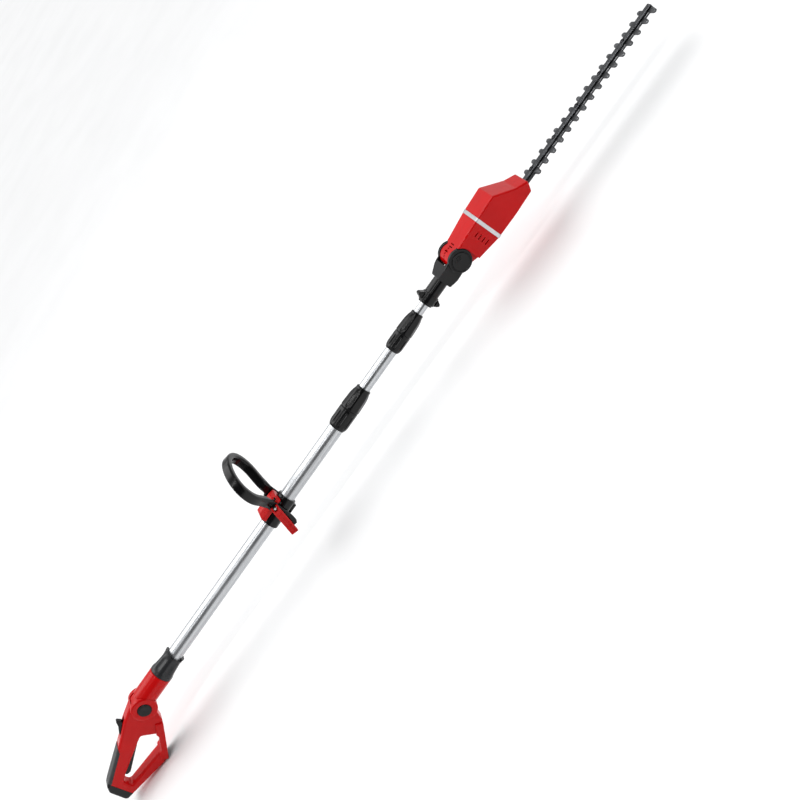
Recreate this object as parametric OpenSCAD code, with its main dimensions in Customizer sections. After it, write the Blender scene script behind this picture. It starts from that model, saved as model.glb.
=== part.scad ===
// Pole hedge trimmer: telescopic pole, tilting motor head, double-sided blade, folding rear handle.
// Millimetres. +X runs along the pole towards the blade, +Z is the loop-handle side,
// -Y is the side of the clamp lever. The origin is under the middle of the whole tool.

/* [Pole] */
// Outside diameter of the outer tube
tube_d = 36; // [34:0.5:38]
// Outside diameter of the middle tube
mid_d = 28; // [27:0.5:29]
// Outside diameter of the inner tube
inner_d = 22; // [21:0.5:23]
// Wall of all three tubes
tube_wall = 1.2; // [1:0.1:1.5]
// How far the middle tube can still be pulled out
mid_travel = 330; // [200:10:330]
// How far the inner tube can still be pulled out
inner_travel = 330; // [200:10:330]

/* [Rear handle] */
// Width of the grip, across the pole
grip_w = 34; // [30:1:38]
// Width of the battery bar
bar_w = 42; // [40:1:46]
// Radius of the round hinge cheeks
cheek_r = 32; // [30:0.5:34]
// Width over both hinge cheeks
cheek_w = 54; // [50:1:58]
// Wall of the moulded housings
shell_wall = 3; // [2.5:0.25:3.5]
// Angle of the battery bar to the pole
rail_angle = 40; // [38:1:42]

/* [Loop handle] */
// Height of the loop's centre line above the pole
loop_height = 168; // [160:1:180]
// Half of the loop's greatest width, to the centre line
loop_reach = 59; // [50:1:64]
// Width of the loop's band, along the pole
loop_band = 22; // [18:1:26]
// Thickness of the loop's band
loop_thick = 15; // [13:1:17]
// Forward lean of the loop
loop_lean = 9; // [0:1:12]
// How far the loop's plane runs forward for each millimetre towards the far side
loop_skew = 0.2; // [0:0.05:0.25]

/* [Motor head] */
// Radius of the barrel that turns in the yoke
barrel_r = 26; // [25:0.5:26]
// Half width of the barrel
barrel_half = 24; // [22:0.5:24]
// Half width of the head at its widest
head_half = 39.4; // [37:0.2:41]
// Height of the pivot above the pole's centre line
pivot_z = 6; // [4:0.5:8]

/* [Blades] */
// Distance between teeth on one edge
tooth_pitch = 27; // [26.5:0.5:27.5]
// Teeth on each edge of a blade
tooth_count = 16; // [12:1:16]
// Half of the blade's width over the teeth
blade_half = 29; // [27:0.5:31]
// Thickness of one blade
blade_t = 2.5; // [2:0.25:2.5]
// Stroke of one blade to each side
stroke = 6; // [5:0.5:6]

/* [Hidden] */
$fn = 64;

// Stations along the pole, measured from the rear end of the handle
hinge_x = 247;
hinge_z = -7;
neck_x = 260;
collar_x = 335;
collar_end = 397;
tube_start = 300;
tube_end = 1100;
aux_x = 785;
aux_end = 861;
bolt_x = 834;
bolt_z = 28;
low_base_x = 1055;
low_seam_x = 1106;
low_nut_end = 1165;
up_base_x = 1270;
up_seam_x = 1314;
up_nut_end = 1371;
yoke_x = 1396;
sleeve_x = 1400;
yoke_block_x = 1458;
fork_x = 1482;
inner_end = 1450;
pivot_x = 1518;
band_x = 1605;
gear_x = 1672;
nose_x = 1740;
first_tooth = 1769;
tip_x = 2184;
mid_x = tip_x / 2;
floor_z = -143;

// Fits
run_gap = 0.05;
slide_gap = 0.35;
part_gap = 0.3;

// Tubes
tube_r = tube_d / 2;
mid_r = mid_d / 2;
inner_r = inner_d / 2;
grip_on_base = 90;
mid_start = low_base_x - grip_on_base - mid_travel;
mid_end = up_base_x + 35;
inner_start = up_base_x - grip_on_base - inner_travel;

// Handle and its hinge
shell_start = 25;
cheek_half = cheek_w / 2;
knuckle_half = 13;
knuckle_r = 30;
hinge_pin_r = 4;
hinge_cap_r = 16.5;

// Battery rail
rail_low = [144, floor_z];
rail_len = 116;
rail_half = 18;

// Yoke and head
arm_in = barrel_half + 0.6;
arm_out = 31;
arm_r = 27.5;
neck_r = 17;
pivot_r = 5;
knob_r = 27.5;
lock_z = 13.5;
lock_r = 2;
head_top = 35;
head_low = -36;
head_swing_r = arm_r + 1.5;

// Blades, from the plane between them
blade_plane = -28;
blade_gap = 0.1;
bar_gap = 0.3;
bar_t = 5;
bar_half = 7;
spine_half = 12;
bolt_step = 3 * tooth_pitch;
tooth_r = 5.4;
bolt_first = first_tooth - 3;
bolt_count = 5;
blade_bolt_r = 2.5;
bar_z = blade_plane + blade_gap + blade_t + bar_gap;
bar_end = tip_x - 1;
crank_r = 8;
gear_teeth = 40;
pinion_teeth = 8;
gear_r = 31;
gear_z = -14;
pinion_r = 7;
pinion_face = 5;

// Places the tool so that it stands on z = 0 with its middle at x = 0
module place() translate([-mid_x, 0, -floor_z]) children();

// A round bar along X from x0 to x1
module rod_x(x0, x1, r, y = 0, z = 0)
    translate([x0, y, z]) rotate([0, 90, 0]) cylinder(h = x1 - x0, r = r);

// A round bar along Y through the point (x, z)
module rod_y(x, z, y0, y1, r)
    translate([x, y0, z]) rotate([-90, 0, 0]) cylinder(h = y1 - y0, r = r);

// A side view, drawn in X and Z, given thickness from y0 to y1
module side_plate(y0, y1)
    translate([0, y1, 0]) rotate([90, 0, 0]) linear_extrude(y1 - y0) children();

// A shape turned about the pole; each point is [x, radius]
module turned(points)
    rotate([0, 90, 0]) rotate_extrude() polygon([for (p = points) [p[1], p[0]]]);

// A plain tube along the pole
module pipe(x0, x1, r_out, r_in)
    difference() {
        rod_x(x0, x1, r_out);
        rod_x(x0 - 1, x1 + 1, r_in);
    }

// A box from one corner to the other
module block(low, high) translate(low) cube(high - low);

// Keeps one side of the children: -1 is the -Y half, 1 is the +Y half
module half(side)
    intersection() {
        children();
        translate([0, side < 0 ? -100 : 0, -300]) cube([2400, 100, 600]);
    }

// A coil spring standing on Z
module spring(radius, wire_r, height, turns) {
    sides = 6;
    steps = turns * 12;
    ring = function (i) [for (k = [0 : sides - 1])
        let (a = 360 * i / 12, b = 360 * k / sides, r = radius + wire_r * cos(b))
        [r * cos(a), r * sin(a), height * i / steps + wire_r * sin(b)]];
    points = [for (i = [0 : steps]) each ring(i)];
    walls = [for (i = [0 : steps - 1], k = [0 : sides - 1])
        let (n = (k + 1) % sides)
        [i * sides + k, (i + 1) * sides + k, (i + 1) * sides + n, i * sides + n]];
    first = [for (k = [0 : sides - 1]) k];
    last = [for (k = [sides - 1 : -1 : 0]) steps * sides + k];
    polyhedron(points, concat(walls, [first, last]), convexity = 10);
}

// ---- Rear handle ----

module handle_side()
    polygon([
        back_point(shell_start, 0), [150, -5], [187, 11], [232, 23], [262, 21], [270, -30],
        [250, -39], [233, -68], rail_low, [shell_start - 2, -120.5]
    ]);

module finger_opening_side()
    polygon([[44, -80], [40, -104], [160, -112], [195, -80], [172, -45], [66, -72]]);

// A point on the handle's back at x, moved outwards by rise
function back_point(x, rise) = [x, -5 - (150 - x) * 0.35] + rise * [-0.33, 0.944];

// The soft pad on the handle's back; rise stands it proud, reach takes it past the handle's end
module grip_pad_side(rise, reach)
    polygon([
        back_point(shell_start + 0.5 - reach, rise), [112, -26] + (1 + rise / 16) * [10, 11.2],
        [112, -26], [29, -56], [shell_start - reach, -56]
    ]);

module rear_cap_side()
    polygon([
        back_point(shell_start, 0), back_point(14, 0), [2, -67], [0, -112], [4, -118],
        [shell_start - 2, -120.5]
    ]);

module switch_pocket_side() polygon([[60, -58], [165, -14], [176, -14], [176, -40], [62, -69]]);

module trigger_slot_side() polygon([[52, -62], [52, -88], [100, -80], [150, -62], [176, -60], [176, -36]]);

module lock_slot_side() polygon([[150, -14], [150, 10], [197, 20], [197, -2]]);

// The battery bar's own frame: X up the bar, Z into the handle, origin at the middle of its face
module on_rail()
    translate([rail_low[0], 0, rail_low[1]])
        rotate([0, -rail_angle, 0])
            translate([rail_len / 2, 0, 0])
                children();

module handle_body() {
    pocket_half = grip_w / 2 - shell_wall;
    knuckle_space = knuckle_half + part_gap;
    difference() {
        union() {
            side_plate(-grip_w / 2, grip_w / 2) handle_side();
            on_rail() block([-rail_len / 2 + 2, -bar_w / 2, 0], [rail_len / 2 - 4, bar_w / 2, 20]);
            rod_y(hinge_x, hinge_z, -cheek_half, cheek_half, cheek_r);
        }
        // Opening for the fingers, clear through the battery bar's shoulders
        side_plate(-cheek_half, cheek_half) finger_opening_side();
        // Room for the neck's knuckle between the cheeks
        rod_y(hinge_x, hinge_z, -knuckle_space, knuckle_space, knuckle_r + 1);
        block([hinge_x - 6.5, -knuckle_space, hinge_z - 20], [hinge_x + 60, knuckle_space, 60]);
        rod_y(hinge_x, hinge_z, -cheek_half + 3, cheek_half - 3, hinge_pin_r + run_gap);
        rod_y(hinge_x, hinge_z, -cheek_half - 1, -cheek_half + 8, hinge_cap_r + part_gap);
        // Pockets for the switch, the trigger and the button
        side_plate(-pocket_half, pocket_half) switch_pocket_side();
        side_plate(-7.6, 7.6) trigger_slot_side();
        side_plate(-6.6, 6.6) lock_slot_side();
        rod_y(trigger_pivot[0], trigger_pivot[1], -trigger_pin_half - part_gap, trigger_pin_half + part_gap,
              2 + run_gap);
        side_plate(-grip_w / 2 - 1, grip_w / 2 + 1) grip_pad_side(4, 4);
        // Channel for the battery rail
        on_rail() block([-rail_len / 2 - 2, -rail_half, -1], [rail_len / 2 - 10, rail_half, 12]);
        // Wiring space behind the rail, up to the hinge
        on_rail() block([10, -9, 11], [46, 9, 17]);
        for (p = handle_screw_places) rod_y(p[0], p[1], -9, cheek_half, 1.5);
        for (p = handle_screw_places) rod_y(p[0], p[1], grip_w / 2 - 4, cheek_half, 3.2);
    }
}

trigger_pivot = [166, -42];
trigger_pin_half = 15.5;
handle_screw_places = [[31, -110], [138, -124], [211, -36], [205, 2], [44, -68]];

module handle_shell_left() color("firebrick") place() half(-1) handle_body();

module handle_shell_right() color("firebrick") place() half(1) handle_body();

module grip_pad()
    color("dimgray") place() side_plate(-grip_w / 2 - 0.4, grip_w / 2 + 0.4) grip_pad_side(0.4, 0);

module rear_cap()
    color("dimgray") place() side_plate(-grip_w / 2 - 0.4, grip_w / 2 + 0.4) rear_cap_side();

module battery_rail()
    color("dimgray") place() on_rail() {
        block([-rail_len / 2, -rail_half, 9.5], [rail_len / 2 - 10, rail_half, 12]);
        for (side = [-1, 1]) {
            mirror([0, side < 0 ? 1 : 0, 0]) {
                block([-rail_len / 2, rail_half - 2.5, 1], [rail_len / 2 - 10, rail_half, 9.5]);
                block([-rail_len / 2 + 12, rail_half - 6, 1], [rail_len / 2 - 10, rail_half - 2.5, 4]);
            }
        }
    }

module terminal_block()
    color("black") place() on_rail() difference() {
        block([20, -11, 4], [42, 11, 9.5]);
        for (k = [-1 : 1]) block([19, k * 7 - 0.5, 5], [38, k * 7 + 0.5, 9]);
    }

module contact_blades()
    color("gold") place() on_rail()
        for (k = [-1 : 1]) block([8, k * 7 - 0.4, 5.2], [36, k * 7 + 0.4, 8.8]);

module switch_box()
    color("black") place() {
        translate([134, 0, -39]) rotate([0, -22, 0]) cube([28, 16, 10], center = true);
        translate([141, 0, -29]) rotate([0, -22, 0]) cube([8, 10, 9], center = true);
    }

module hinge_pin()
    color("silver") place() rod_y(hinge_x, hinge_z, -cheek_half + 8.5, cheek_half - 3.5, hinge_pin_r);

module handle_screws()
    color("silver") place()
        for (p = handle_screw_places) {
            rod_y(p[0], p[1], -8.5, grip_w / 2 - 4, 1.45);
            rod_y(p[0], p[1], grip_w / 2 - 4, grip_w / 2 - 1.4, 3);
        }

module trigger()
    color("black") place() {
        side_plate(-7, 7)
            polygon([[162, -38], [170, -38], [172, -44], [166, -50], [150, -53], [71, -84],
                     [61, -82], [58, -75], [150, -46]]);
        rod_y(trigger_pivot[0], trigger_pivot[1], -trigger_pin_half, trigger_pin_half, 2);
    }

module trigger_spring() color("silver") place() translate([95, 0, -59.5]) spring(3.5, 0.5, 13.5, 5);

module lock_off_button()
    color("black") place()
        side_plate(-6, 6)
            polygon([[154, -8], [154, 0], [171, 13], [180, 25], [184, 25], [187, 15], [187, 3], [175, -4]]);

module hinge_button()
    color("black") place() {
        rod_y(hinge_x, hinge_z, -cheek_half - 1.5, -cheek_half + 4.5, hinge_cap_r);
        rod_y(hinge_x, hinge_z, -cheek_half - 2.5, -cheek_half - 1.5, hinge_cap_r - 3);
    }

// ---- Neck and collar ----

module neck_body()
    difference() {
        union() {
            difference() {
                rod_x(neck_x, collar_x, 27.5);
                rod_y(hinge_x, hinge_z, -cheek_half - 2, cheek_half + 2, cheek_r + 1);
            }
            block([hinge_x, -knuckle_half, hinge_z - 16],
                  [hinge_x + cheek_r + 6, knuckle_half, hinge_z + 22]);
            rod_y(hinge_x, hinge_z, -knuckle_half, knuckle_half, knuckle_r);
        }
        rod_x(tube_start, collar_x + 1, tube_r + run_gap);
        rod_x(hinge_x - 31, tube_start + 1, 7.6);
        rod_y(hinge_x, hinge_z, -knuckle_half - 1, knuckle_half + 1, hinge_pin_r + run_gap);
    }

module neck_shell_left() color("firebrick") place() half(-1) neck_body();

module neck_shell_right() color("firebrick") place() half(1) neck_body();

module neck_collar()
    color("dimgray") place() difference() {
        turned([
            [collar_x + 0.4, tube_r + slide_gap], [collar_x + 0.4, 26], [collar_x + 3, 27.5],
            [collar_x + 10, 27.5], [collar_end - 14, 23.5], [collar_end - 6, 23.5],
            [collar_end, 24.5], [collar_end, tube_r + slide_gap]
        ]);
        for (k = [0 : 5])
            rotate([60 * k + 30, 0, 0]) rod_x(collar_x + 14, collar_end - 10, 4, 0, 28);
        for (side = [-1, 1])
            translate([collar_end, side * 24, 0]) cube([10, 20, 30], center = true);
    }

// ---- Pole ----

module outer_tube() color("silver") place() pipe(tube_start, tube_end, tube_r, tube_r - tube_wall);

module spiral_cable() color("black") place() rod_x(290, 1456, 7);

// A clamp base that sits on the end of one tube and lets the next one through
module clamp_base(x, seam, on_r, through_r, out_r) {
    spigot_r = out_r - 3.5;
    difference() {
        turned([
            [x, on_r + run_gap], [x, out_r - 3.5], [x + 6, out_r - 0.8], [x + 14, out_r],
            [seam, out_r], [seam, spigot_r], [seam + 18, spigot_r], [seam + 18, through_r + slide_gap],
            [seam - 5, through_r + slide_gap], [seam - 5, on_r + run_gap]
        ]);
        for (k = [0 : 7])
            rotate([45 * k, 0, 0]) rod_x(x + 12, seam - 8, 1.6, 0, out_r + 0.6);
    }
}

// A split ring that the nut squeezes on the sliding tube
module collet(x, through_r, out_r)
    difference() {
        turned([
            [x, through_r + slide_gap], [x, out_r],
            [x + 12, out_r - 1.4], [x + 12, through_r + slide_gap]
        ]);
        for (k = [0 : 3])
            rotate([90 * k + 45, 0, 0]) block([x + 3, -0.8, 0], [x + 13, 0.8, out_r + 1]);
    }

// The twist nut over the base's spigot
module clamp_nut(seam, end, through_r, out_r) {
    spigot_r = out_r - 3.5;
    difference() {
        turned([
            [seam + 0.6, spigot_r + slide_gap], [seam + 0.6, out_r - 0.6], [seam + 4, out_r + 0.5],
            [seam + 26, out_r - 0.5], [end - 5, through_r + 3.6], [end, through_r + 2.6],
            [end, through_r + slide_gap + 0.2], [seam + 33, through_r + slide_gap + 0.2],
            [seam + 31, spigot_r + slide_gap]
        ]);
        for (k = [0 : 7])
            rotate([45 * k + 22.5, 0, 0]) rod_x(seam + 7, end - 24, 2.4, 0, out_r + 1.6);
    }
}

low_out_r = 22.5;
up_out_r = 19.5;

module lower_clamp_base()
    color("dimgray") place() clamp_base(low_base_x, low_seam_x, tube_r, mid_r, low_out_r);

module lower_collet() color("gray") place() collet(low_seam_x + 18.3, mid_r, low_out_r - 4.2);

module lower_clamp_nut() color("dimgray") place() clamp_nut(low_seam_x, low_nut_end, mid_r, low_out_r);

module middle_tube() color("silver") place() pipe(mid_start, mid_end, mid_r, mid_r - tube_wall);

module middle_bush()
    color("dimgray") place()
        pipe(mid_start + 2, mid_start + 32, tube_r - tube_wall - slide_gap, mid_r + run_gap);

module upper_clamp_base()
    color("dimgray") place() clamp_base(up_base_x, up_seam_x, mid_r, inner_r, up_out_r);

module upper_collet() color("gray") place() collet(up_seam_x + 18.3, inner_r, up_out_r - 4.2);

module upper_clamp_nut() color("dimgray") place() clamp_nut(up_seam_x, up_nut_end, inner_r, up_out_r);

module inner_tube() color("silver") place() pipe(inner_start, inner_end, inner_r, inner_r - tube_wall);

module inner_bush()
    color("dimgray") place()
        pipe(inner_start + 2, inner_start + 30, mid_r - tube_wall - slide_gap, inner_r + run_gap);

// ---- Yoke and tilt lock ----

module yoke_side() {
    polygon([
        [yoke_block_x, -18], [yoke_block_x, 18], [1488, 25], [pivot_x, 27],
        [pivot_x, -15], [1480, -18]
    ]);
    translate([pivot_x, pivot_z]) circle(r = arm_r);
}

module yoke()
    color("black") place() difference() {
        union() {
            rod_x(yoke_x, yoke_block_x + 1, neck_r);
            side_plate(-arm_out, arm_out) yoke_side();
        }
        rod_x(yoke_x - 1, inner_end, inner_r + run_gap);
        rod_x(inner_end - 1, pivot_x, 7.5);
        // Space for the head's barrel and for the head when it is folded down
        rod_y(pivot_x, pivot_z, -arm_in, arm_in, barrel_r + 0.6);
        block([fork_x + 7.5, -arm_in, -60], [pivot_x + 60, arm_in, 60]);
        block([fork_x, -arm_in, -60], [pivot_x, arm_in, pivot_z + 1]);
        rod_y(pivot_x, pivot_z, -arm_out - 1, arm_out + 1, pivot_r + run_gap);
        // Channel for the lock pin, its spring and the finger that joins it to the sleeve
        rod_x(sleeve_x - 8, 1500, lock_r + slide_gap, 0, lock_z);
        rod_x(yoke_block_x + 2, 1480, 4.2, 0, lock_z);
        block([sleeve_x - 8, -2.3, lock_z], [1426, 2.3, neck_r + 1]);
        // The arms narrow towards the neck
        for (side = [0, 1])
            mirror([0, side, 0])
                translate([0, 0, -60]) linear_extrude(120)
                    polygon([
                        [yoke_block_x - 1, neck_r + 1], [fork_x + 4, arm_out + 1],
                        [yoke_block_x - 1, arm_out + 1]
                    ]);
    }

module pivot_bolt() color("silver") place() rod_y(pivot_x, pivot_z, -arm_out, arm_out, pivot_r);

module pivot_cap(side)
    mirror([0, side < 0 ? 1 : 0, 0]) {
        rod_y(pivot_x, pivot_z, arm_out, arm_out + 3.5, knob_r);
        rod_y(pivot_x, pivot_z, arm_out + 3.5, arm_out + 5, knob_r - 6);
    }

module pivot_cap_left() color("black") place() pivot_cap(-1);

module pivot_cap_right() color("black") place() pivot_cap(1);

module tilt_lock_sleeve()
    color("black") place() difference() {
        union() {
            rod_x(sleeve_x, sleeve_x + 22, neck_r + 3);
            for (side = [-1, 1])
                side_plate(-9, 9)
                    polygon([[sleeve_x + 2, 0], [sleeve_x + 6, side * 27], [sleeve_x + 10, side * 31],
                             [sleeve_x + 14, side * 28], [sleeve_x + 21, 0]]);
        }
        rod_x(sleeve_x - 1, sleeve_x + 23, neck_r + part_gap);
    }

module tilt_lock_pin()
    color("silver") place() {
        rod_x(sleeve_x + 6, 1492, lock_r, 0, lock_z);
        block([sleeve_x + 6, -2, lock_z], [sleeve_x + 14, 2, neck_r + 0.1]);
        rod_x(1478, 1479.5, 3.6, 0, lock_z);
    }

module tilt_lock_spring()
    color("silver") place() translate([yoke_block_x + 3, 0, lock_z]) rotate([0, 90, 0]) spring(3, 0.4, 16, 6);

// ---- Motor head ----

module head_side()
    polygon([
        [pivot_x - 5, head_top - 8.5], [band_x, head_top], [1668, head_top + 2.5], [1712, 0],
        [nose_x, -14], [nose_x - 13, head_low], [band_x, head_low], [1547, -29],
        [pivot_x - 5, pivot_z - barrel_r + 1]
    ]);

module head_plan() {
    for (side = [-1, 1])
        scale([1, side])
            polygon([
                [pivot_x - barrel_r - 1, 0], [pivot_x - barrel_r - 1, barrel_half], [1534, barrel_half],
                [1536, 33.5], [1577, 36], [band_x, 38], [1668, head_half], [1712, 35.5],
                [nose_x + 5, 33], [nose_x + 5, 0]
            ]);
}

// The band's outline, seen along the pole; grow moves every edge outwards
module band_outline(grow)
    translate([-head_top - grow, -38 - grow])
        square([head_top - head_low + 2 * grow, 76 + 2 * grow]);

module band_ring(x0, x1, grow, sink)
    translate([x0, 0, 0]) rotate([0, 90, 0]) linear_extrude(x1 - x0)
        difference() {
            band_outline(grow);
            band_outline(-sink);
        }

head_screw_places = [[1560, 24], [1560, -23], [1636, 22], [1696, 5], [1722, -14.5]];

module head_body()
    difference() {
        intersection() {
            union() {
                side_plate(-50, 50) head_side();
                rod_y(pivot_x, pivot_z, -50, 50, barrel_r);
            }
            translate([0, 0, -60]) linear_extrude(120) head_plan();
        }
        // The arms' discs and the arms themselves when the head is folded
        for (side = [-1, 1])
            mirror([0, side < 0 ? 1 : 0, 0]) {
                rod_y(pivot_x, pivot_z, barrel_half, 60, head_swing_r);
                block([1480, barrel_half, -60], [1547, 60, pivot_z]);
            }
        band_ring(band_x, band_x + 9, 5, 1.6);
        rod_y(pivot_x, pivot_z, -60, 60, pivot_r + run_gap);
        // Motor room, gear room, wiring passage and blade exit
        rod_x(1550, 1628, 20.5);
        rod_x(pivot_x + 9, 1551, 7);
        block([1627, -33, -33], [1690, 33, 10]);
        block([1689, -31, -33], [1713, 31, -5]);
        block([1707, -spine_half - 2, -34], [nose_x + 10, spine_half + 2, bar_z + bar_t + 1]);
        // Air slots in both sides and on top
        for (z = [13.5, 3.5, -7, -17.5]) block([1577, -60, z - 1.2], [1590, 60, z + 1.2]);
        for (x = [1516, 1529, 1536]) block([x, -8, 20], [x + 2.5, 8, 40]);
        // Notches of the tilt lock, a quarter turn in steps of fifteen degrees
        for (k = [0 : 6])
            translate([pivot_x, 0, pivot_z]) rotate([0, 15 * k - 163, 0])
                rod_x(barrel_r - 3, barrel_r + 2, lock_r + 0.6);
        for (p = head_screw_places) rod_y(p[0], p[1], -12, 60, 1.5);
        for (p = head_screw_places) rod_y(p[0], p[1], 26, 60, 3.4);
    }

module head_shell_left() color("firebrick") place() half(-1) head_body();

module head_shell_right() color("firebrick") place() half(1) head_body();

module trim_band() color("silver") place() band_ring(band_x, band_x + 9, 0.6, 1.6);

module motor_can()
    color("gray") place() difference() {
        union() {
            rod_x(1552, 1616, 19.5);
            rod_x(1616, 1620, 7);
        }
        rod_x(1586, 1621, 2.5 + run_gap);
    }

module head_screws()
    color("silver") place()
        for (p = head_screw_places) {
            rod_y(p[0], p[1], -11.5, 28, 1.45);
            rod_y(p[0], p[1], 28, 31, 3);
        }

// A plate of the gearbox with the lower bearing's seat
module gear_plate()
    color("gray") place() difference() {
        block([1629, -30, bar_z + bar_t], [1706, 30, bar_z + bar_t + 4]);
        translate([gear_x, 0, bar_z]) cylinder(h = 20, r = 9);
    }

module shaft_bearings()
    color("silver") place() translate([gear_x, 0, 0])
        for (z = [bar_z + bar_t, 5]) translate([0, 0, z])
            difference() {
                cylinder(h = 4, r = 9);
                translate([0, 0, -1]) cylinder(h = 6, r = 4 + run_gap);
            }

// ---- Drive ----

module motor_shaft()
    color("silver") place() {
        rod_x(1588, 1648, 2.5);
        rod_x(gear_x - gear_r, gear_x - gear_r + pinion_face, 4.2);
        for (k = [0 : pinion_teeth - 1])
            rotate([360 * k / pinion_teeth, 0, 0])
                translate([gear_x - gear_r, 0, 0]) rotate([0, 90, 0]) linear_extrude(pinion_face)
                    polygon([[4, -0.9], [pinion_r, -0.5], [pinion_r, 0.5], [4, 0.9]]);
    }

module drive_gear()
    color("gray") place() translate([gear_x, 0, gear_z])
        difference() {
            union() {
                cylinder(h = 5, r = gear_r);
                for (k = [0 : gear_teeth - 1])
                    rotate([0, 0, 360 * (k + 0.5) / gear_teeth])
                        translate([gear_r - pinion_face - 0.2, -0.7, 4.9]) cube([pinion_face, 1.4, 3.5]);
            }
            translate([0, 0, -1]) cylinder(h = 10, r = 4 + run_gap);
            translate([0, 0, 2]) difference() {
                cylinder(h = 6, r = 22);
                translate([0, 0, -1]) cylinder(h = 8, r = 8);
            }
        }

module crank_shaft()
    color("silver") place() translate([gear_x, 0, 0]) {
        translate([0, 0, blade_plane - blade_gap - blade_t]) cylinder(h = 40.6, r = 4);
        translate([0, stroke, blade_plane + blade_gap]) cylinder(h = blade_t, r = crank_r);
        translate([0, -stroke, blade_plane - blade_gap - blade_t]) cylinder(h = blade_t, r = crank_r);
    }

// A round-topped tooth, a little wider at its root
module tooth() {
    shoulder = blade_half - tooth_r;
    polygon([[-7.5, spine_half - 1], [7.5, spine_half - 1], [tooth_r, shoulder], [-tooth_r, shoulder]]);
    translate([0, shoulder]) circle(r = tooth_r, $fn = 24);
}

// Both blades have this outline: a spine with teeth, and a yoke plate round the crank
module blade_outline() {
    spine_start = gear_x + 30;
    difference() {
        union() {
            translate([gear_x - 27, -24]) square([60, 48]);
            translate([spine_start, -spine_half]) square([tip_x - 8 - spine_start, 2 * spine_half]);
            translate([tip_x - 12, 0]) circle(r = spine_half);
            for (k = [0 : tooth_count - 1]) {
                translate([first_tooth + k * tooth_pitch, 0]) mirror([0, 1]) tooth();
                translate([first_tooth + (k - 0.5) * tooth_pitch, 0]) tooth();
            }
        }
        // Play for the crank in every position of crank and blade
        translate([gear_x - crank_r - 2 * stroke - 0.4, -crank_r - stroke - 0.4])
            square([2 * (crank_r + 2 * stroke + 0.4), 2 * (crank_r + stroke + 0.4)]);
        for (k = [0 : bolt_count - 1])
            translate([bolt_first + k * bolt_step, 0]) {
                square([2 * stroke + 0.8, 2 * blade_bolt_r + 0.8], center = true);
                for (side = [-1, 1])
                    translate([side * (stroke + 0.4), 0]) circle(r = blade_bolt_r + 0.4);
            }
    }
}

module upper_blade()
    color("dimgray") place()
        translate([0, 0, blade_plane + blade_gap]) linear_extrude(blade_t) blade_outline();

module lower_blade()
    color("dimgray") place()
        translate([0, 0, blade_plane - blade_gap - blade_t]) linear_extrude(blade_t) blade_outline();

module support_bar()
    color("gray") place() difference() {
        translate([0, 0, bar_z]) linear_extrude(bar_t) {
            translate([1700, -bar_half]) square([bar_end - 1700, 2 * bar_half]);
        }
        for (k = [0 : bolt_count - 1])
            translate([bolt_first + k * bolt_step, 0, bar_z - 1])
                cylinder(h = 10, r = blade_bolt_r + run_gap);
    }

module blade_bolts()
    color("silver") place()
        for (k = [0 : bolt_count - 1])
            translate([bolt_first + k * bolt_step, 0, 0]) {
                translate([0, 0, -33.4]) cylinder(h = bar_z + bar_t + 33.4, r = blade_bolt_r);
                translate([0, 0, bar_z + bar_t]) cylinder(h = 2.4, r = 5.5);
            }

module blade_nuts()
    color("silver") place()
        for (k = [0 : bolt_count - 1])
            translate([bolt_first + k * bolt_step, 0, -33.2]) difference() {
                union() {
                    cylinder(h = 2.3, r = 5, $fn = 6);
                    translate([0, 0, 1.5]) cylinder(h = 0.8, r = 6.5);
                }
                translate([0, 0, -1]) cylinder(h = 5, r = blade_bolt_r + run_gap);
            }

// ---- Loop handle and its clamp ----

module tube_clamp()
    difference() {
        union() {
            rod_x(aux_x, aux_end, low_out_r);
            block([bolt_x - 14, -20, 12], [bolt_x + 14, 20, 33]);
            block([bolt_x - 20, -9, -28], [bolt_x + 20, 9, -16]);
        }
        rod_x(aux_x - 1, aux_end + 1, tube_r + slide_gap);
        block([aux_x - 1, -0.7, -60], [aux_end + 1, 0.7, 60]);
        rod_y(bolt_x, bolt_z, -21, 21, 3 + run_gap);
    }

module tube_clamp_left() color("black") place() half(-1) tube_clamp();

module tube_clamp_right() color("black") place() half(1) tube_clamp();

module clamp_saddle()
    color("red") place() difference() {
        intersection() {
            block([aux_x + 6, -22, 14], [aux_end - 9, 22, 38]);
            rotate([0, 90, 0]) rotate([0, 0, 180]) linear_extrude(2000)
                polygon([[19, -23], [28, -23], [38, -10], [38, 10], [28, 23], [19, 23]]);
            side_plate(-30, 30)
                polygon([
                    [aux_x + 6, 10], [aux_x + 6, 31], [aux_x + 12, 38], [aux_end - 17, 38],
                    [aux_end - 9, 30], [aux_end - 9, 10]
                ]);
        }
        rod_x(aux_x, aux_end, low_out_r + 0.2);
        block([bolt_x - 14.2, -20.2, 0], [bolt_x + 14.2, 20.2, 33.2]);
        rod_y(bolt_x, bolt_z, -30, 30, 3.3);
    }

// Frame of the lever: X along its pin, Z up the closed lever
lever_lean = 20;
lever_y = -37;
lever_pin_r = 1.5;

module clamp_bolt()
    color("silver") place() difference() {
        union() {
            rod_y(bolt_x, bolt_z, -41, 33, 3);
            rod_y(bolt_x, bolt_z, 31, 35, 6.5);
        }
        lever_frame() rod_x(-10, 10, lever_pin_r + run_gap);
    }

// The loop's centre line on the +Y side, in Y and Z: a straight leg, then two cubic curves
loop_leg_in = 23.2;
leg_half = 3.75;
loop_leg_y = loop_leg_in + leg_half;

function cubic(a, b, c, d, t) =
    pow(1 - t, 3) * a + 3 * pow(1 - t, 2) * t * b + 3 * (1 - t) * t * t * c + t * t * t * d;

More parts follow.
